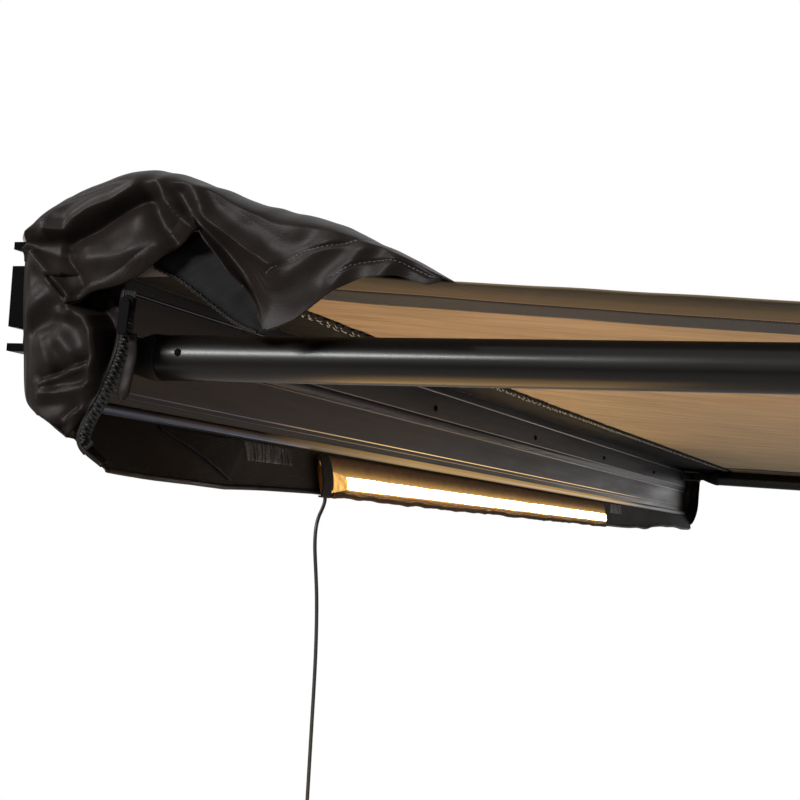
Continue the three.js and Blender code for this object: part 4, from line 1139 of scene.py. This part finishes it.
def make_zip():
    """Moulded teeth of the two halves, meshed, with a tape on either side"""
    teeth = bmesh.new()
    for i in range(NEAR_TEETH):
        here, run, side = beside(NEAR_ZIP, .17 + .64 * i / NEAR_TEETH)
        at = here + side * (4.2 if i % 2 else 2.6)
        tooth(teeth, GUSSET_WALL + 3.6, at, run, side, (1.4, 3.2, 2))
    break_edges(teeth, .35)
    piece("zip_teeth", teeth, ZIP, "zip_black")

    def tape(u, v):
        here, _, side = beside(NEAR_ZIP, .12 + .7 * u)
        y, z = here + side * (v * 10 - 2.5)
        return GUSSET_WALL + 1.6 + .6 * sin(v * 5) + rough((y, z, 0), 12, .8, 51), y, z
    cloth("zip_tape", (60, 10), tape, (90, 14), TO_NEAR, WEB_BLACK, "zip_black", .8, "bag_zip")

    def loose(u, v):
        y, z = smooth_line(TAPE_END, u)
        wide = 9 * min(1, (1 - u) * 9) ** .5
        swell = 1.3 * sin(pi * v) ** .5 - .8 * sin(u * 5)
        return GUSSET_WALL + 1.2 + swell + rough((y, z, 0), 10, .7, 53), y + wide * (v - .5), z
    cloth("zip_tape_end", (50, 12), loose, (46, 6), TO_NEAR, VINYL, "bag_black", .9)


make_zip()

# The other half of the zip hangs inside the bag's end: its two edges in (Y, Z)
INNER_X = 1246
INNER_LOW = [(98, 22), (120, 12), (147, -6), (162, -15.5), (177, -21.5)]
INNER_HIGH = [(138, 44), (153, 32), (172, 11), (182, -7), (190, -19)]


def make_inner_tape():
    def surface(u, v):
        y, z = smooth_line(INNER_LOW, u).lerp(smooth_line(INNER_HIGH, u), v)
        return INNER_X + 1.6 * sin(v * 7) + rough((y, z, 0), 12, 1.5, 61), y, z
    cloth("inner_zip_tape", (70, 14), surface, (95, 24), TO_NEAR, INNER, "bag_inner", .9)
    teeth = bmesh.new()
    for i in range(INNER_TEETH):
        here, run, side = beside(INNER_LOW, .04 + i / 57, .2 / 57)
        at = here + side * (.4 + .5 * (i % 2))
        tooth(teeth, INNER_X + 1.2, at, run, side, (1, 2.4, 1.6))
    piece("inner_zip_teeth", teeth, ZIP, "zip_black")
    stop = bmesh.new()
    box(stop, (1.6, 3.4, 2.4), (INNER_X + 2, 181, -17.5))
    round_edges(piece("inner_zip_stop", stop, STEEL, "steel"), .4)


make_inner_tape()
# Lining beside the near end's hem, and the header's corner that hangs behind the far knuckle
corner("lining_corner", 1243, [(85, 14.3), (119, 15.2), (106, 29), (85, 29)], LINING)
corner("far_corner", -1242.5, [(34, 26), (86, 23.5), (78, 12), (40, 11)], HEADER)


# ---- painted highlights and painted shade on the extrusion's edges, step and bead
DRAWN_HALF = 1249.5


def drawn(name, section, finish):
    """A slim facet of the extrusion's section, in (Y, Z), with a finish of its own that paints a
    highlight or shade on it
    """
    bm = bmesh.new()
    far, near = (points_at(bm, x, section) for x in (-DRAWN_HALF, DRAWN_HALF))
    for face in zip(far, far[1:], near[1:], near):
        bm.faces.new(face)
    thicken(piece(name, facing(bm, OUTWARD), finish, "anodised"), .08)


# A thin band of painted highlight along the extrusion at (y, z)
def highlight_line(name, y, z, height, finish):
    drawn("edge_" + name, [(y + .1, z - height / 2), (y + .1, z + height / 2)], finish)


highlight_line("groove", PLATE_DEPTH, 21, 1.5, UPPER_EDGE_HIGHLIGHT)
highlight_line("step", PLATE_DEPTH, -8.3, .8, UPPER_EDGE_HIGHLIGHT)
# Painted shade on the sloped step between the two front faces
drawn("step_face", [(21.15, -17.8), (24.1, -9.2)], SHADE)
highlight_line("step_foot", 21, -19, 1.2, UPPER_EDGE_HIGHLIGHT)
highlight_line("skirt", 21, -50.5, .9, LOWER_EDGE_HIGHLIGHT)
highlight_line("skirt_groove", 19.7, -54.4, .6, BEAD_HIGHLIGHT)
# Painted highlight on the bead's face, on an arc round its centre
BEAD_CENTRE, BEAD_RADIUS = Vector((20, -65)), 5.2
drawn("bead_face", [BEAD_CENTRE + Vector((cos(a), sin(a))) * BEAD_RADIUS
                    for a in map(radians, range(-40, 59, 7))], BEAD_HIGHLIGHT)


# ---- small hardware
def turned_piece(name, profile, centre, way, body):
    """A profile of (radius, height) spun about `way` through a millimetre place"""
    bm = bmesh.new()
    verts = [bm.verts.new((r * MM, 0, h * MM)) for r, h in profile]
    edges = [bm.edges.new(pair) for pair in zip(verts, verts[1:])]
    bmesh.ops.spin(bm, geom=verts + edges, cent=(0, 0, 0), axis=UP, angle=2 * pi, steps=24,
                   use_merge=True)
    bmesh.ops.remove_doubles(bm, verts=bm.verts, dist=1e-7)
    bmesh.ops.recalc_face_normals(bm, faces=bm.faces)
    turn = Vector(way).to_track_quat("Z", "Y").to_matrix()
    bmesh.ops.rotate(bm, cent=(0, 0, 0), matrix=turn, verts=bm.verts)
    bmesh.ops.translate(bm, vec=Vector(centre) * MM, verts=bm.verts)
    piece(name, bm, NICKEL, "steel", body=body)


DOMED = [(0, 2.2), (1.2, 2.1), (2.6, 1.5), (3.4, .6), (3.6, 0), (0, 0)]
for index, x in enumerate((-880, -440, 0, 440, 880), 1):
    turned_piece(f"plate_screw_{index}", DOMED, (x, PLATE_DEPTH, 2), OUTWARD, "awning_base")


# ---- finishes of the CAD's nodes
BODY_OF = {name: body for body, names in frame["record"]["behaviour"]["bodies"].items()
           for name in names}
CREASE = radians(32)


def fair_copy(name, finish, slot, edge):
    """A node's own shape with its round faces shaded round and its sharp edges broken"""
    bm = bmesh.new()
    bm.from_mesh(nodes[name].data)
    bmesh.ops.remove_doubles(bm, verts=bm.verts, dist=1e-5)
    bmesh.ops.dissolve_limit(bm, angle_limit=radians(1), verts=bm.verts, edges=bm.edges)
    for edge_line in bm.edges:
        edge_line.smooth = len(edge_line.link_faces) == 2 and edge_line.calc_face_angle(0) < CREASE
    obj = piece(name + "_finished", bm, finish, slot, name, body=BODY_OF[name])
    bevel = round_edges(obj, edge)
    bevel.angle_limit = CREASE
    bevel.harden_normals = True
    return obj


RIVET = [(r * .72, h * .6) for r, h in DOMED]
turned_piece("knuckle_rivet", RIVET, (1234.6, 115, -33.2), TO_NEAR,
             BODY_OF["arm_outer_tube_near"])


def finish_parts(finish, slot, edge, *stems):
    for stem in stems:
        for end in ("near", "far"):
            fair_copy(f"{stem}_{end}", finish, slot, edge)


finish_parts(PAINT, "arm_black", .6, "arm_outer_tube", "leg_outer_tube")
finish_parts(ALLOY, "inner_alloy", .4, "arm_inner_tube", "leg_inner_tube")
finish_parts(MOULDED, "moulded_black", .7, "arm_knuckle", "leg_head", "arm_twist_lock",
             "leg_twist_lock", "arm_tip")
finish_parts(NICKEL, "steel", .3, "arm_hinge_pin")
finish_parts(STEEL, "steel", .3, "leg_hinge_pin")
finish_parts(RUBBER, "sole_rubber", .8, "leg_foot")
fair_copy("cord_relief", JACKET, "cord_black", .4)
fair_copy("cord_plug", JACKET, "cord_black", .4)


def dress(finish, *starts):
    for name, obj in nodes.items():
        if name.startswith(starts):
            for holder in obj.material_slots:
                holder.material = finish.material


dress(ANODISED, "backing_extrusion", "front_rail", "arm_bracket")
dress(CAP, "end_cap", "rail_cap")
dress(NICKEL, "zip_slider", "zip_pull")
dress(JACKET, "cord")


# ---- stage and light
def make_stage():
    """Pale floor, shown to the camera as white paper that fades away from the awning"""
    bm = bmesh.new()
    bmesh.ops.create_grid(bm, x_segments=1, y_segments=1, size=8)
    bmesh.ops.translate(bm, vec=(0, 0, (SOLE - .5) * MM), verts=bm.verts)
    floor = placed("floor", bm)
    material = bpy.data.materials.new("studio_floor")
    material.use_nodes = True
    tree = material.node_tree
    tree.nodes.clear()
    place = wire(tree, "TexCoord").outputs["Object"]
    reach = wire(tree, "VectorMath", {0: place}, operation="LENGTH").outputs["Value"]
    fade = wire(tree, "MapRange", {"Value": reach, "From Min": 2, "From Max": 7, "To Min": .55})
    seen = wire(tree, "LightPath").outputs["Is Camera Ray"]
    share = wire(tree, "Math", {0: seen, 1: fade.outputs["Result"]}, operation="MULTIPLY")
    paper = wire(tree, "BsdfDiffuse", {"Color": (.8, .8, .8, 1)})
    white = wire(tree, "Emission", {"Strength": 1})
    shown = wire(tree, "MixShader", {0: share.outputs[0], 1: paper.outputs[0],
                                     2: white.outputs[0]})
    wire(tree, "OutputMaterial", {"Surface": shown.outputs[0]})
    floor.data.materials.append(material)


def make_world(daylight):
    """White wherever the camera sees it, straight or in a mirror, and `daylight` elsewhere"""
    world = bpy.data.worlds.new("studio")
    scene.world = world
    world.use_nodes = True
    tree = world.node_tree
    path = wire(tree, "LightPath").outputs
    seen = path["Is Camera Ray"]
    for name in ("Is Glossy Ray", "Is Transmission Ray"):
        seen = wire(tree, "Math", {0: seen, 1: path[name]}, operation="MAXIMUM").outputs[0]
    level = wire(tree, "MapRange", {"Value": seen, "To Min": daylight, "To Max": 1})
    back = tree.nodes["Background"].inputs
    feed(tree, back["Color"], (1, 1, 1, 1))
    feed(tree, back["Strength"], level.outputs["Result"])


def make_lamp(name, place, target, size, power, colour=(1, 1, 1)):
    """A rectangular lamp; places and sizes in metres, power in watts"""
    lamp = bpy.data.lights.new(name, "AREA")
    lamp.shape = "RECTANGLE"
    lamp.size, lamp.size_y = size
    lamp.energy = power
    lamp.color = colour
    obj = bpy.data.objects.new(name, lamp)
    way = Vector(target) - Vector(place)
    obj.location = place
    obj.rotation_euler = way.to_track_quat("-Z", "Y").to_euler()
    scene.collection.objects.link(obj)


make_stage()
make_world(.3)
make_lamp("key", (3.2, -.95, .8), (1.235, .16, -.03), (1.1, .26), 125)
make_lamp("side", (1.7, -2, 1.9), (1.25, .1, .05), (.9, .9), 50)
make_lamp("under", (.35, 1.6, -1.5), (.35, 1.601, 0), (2.2, 1.4), 12.5)
make_lamp("warm", (1, .15, -.55), (.95, .4, .03), (.6, .3), 3.2, (1, .58, .18))
make_lamp("top", (.2, .6, 2.6), (.2, .8, 0), (3, 2), 15)

scene.view_settings.view_transform = "Standard"
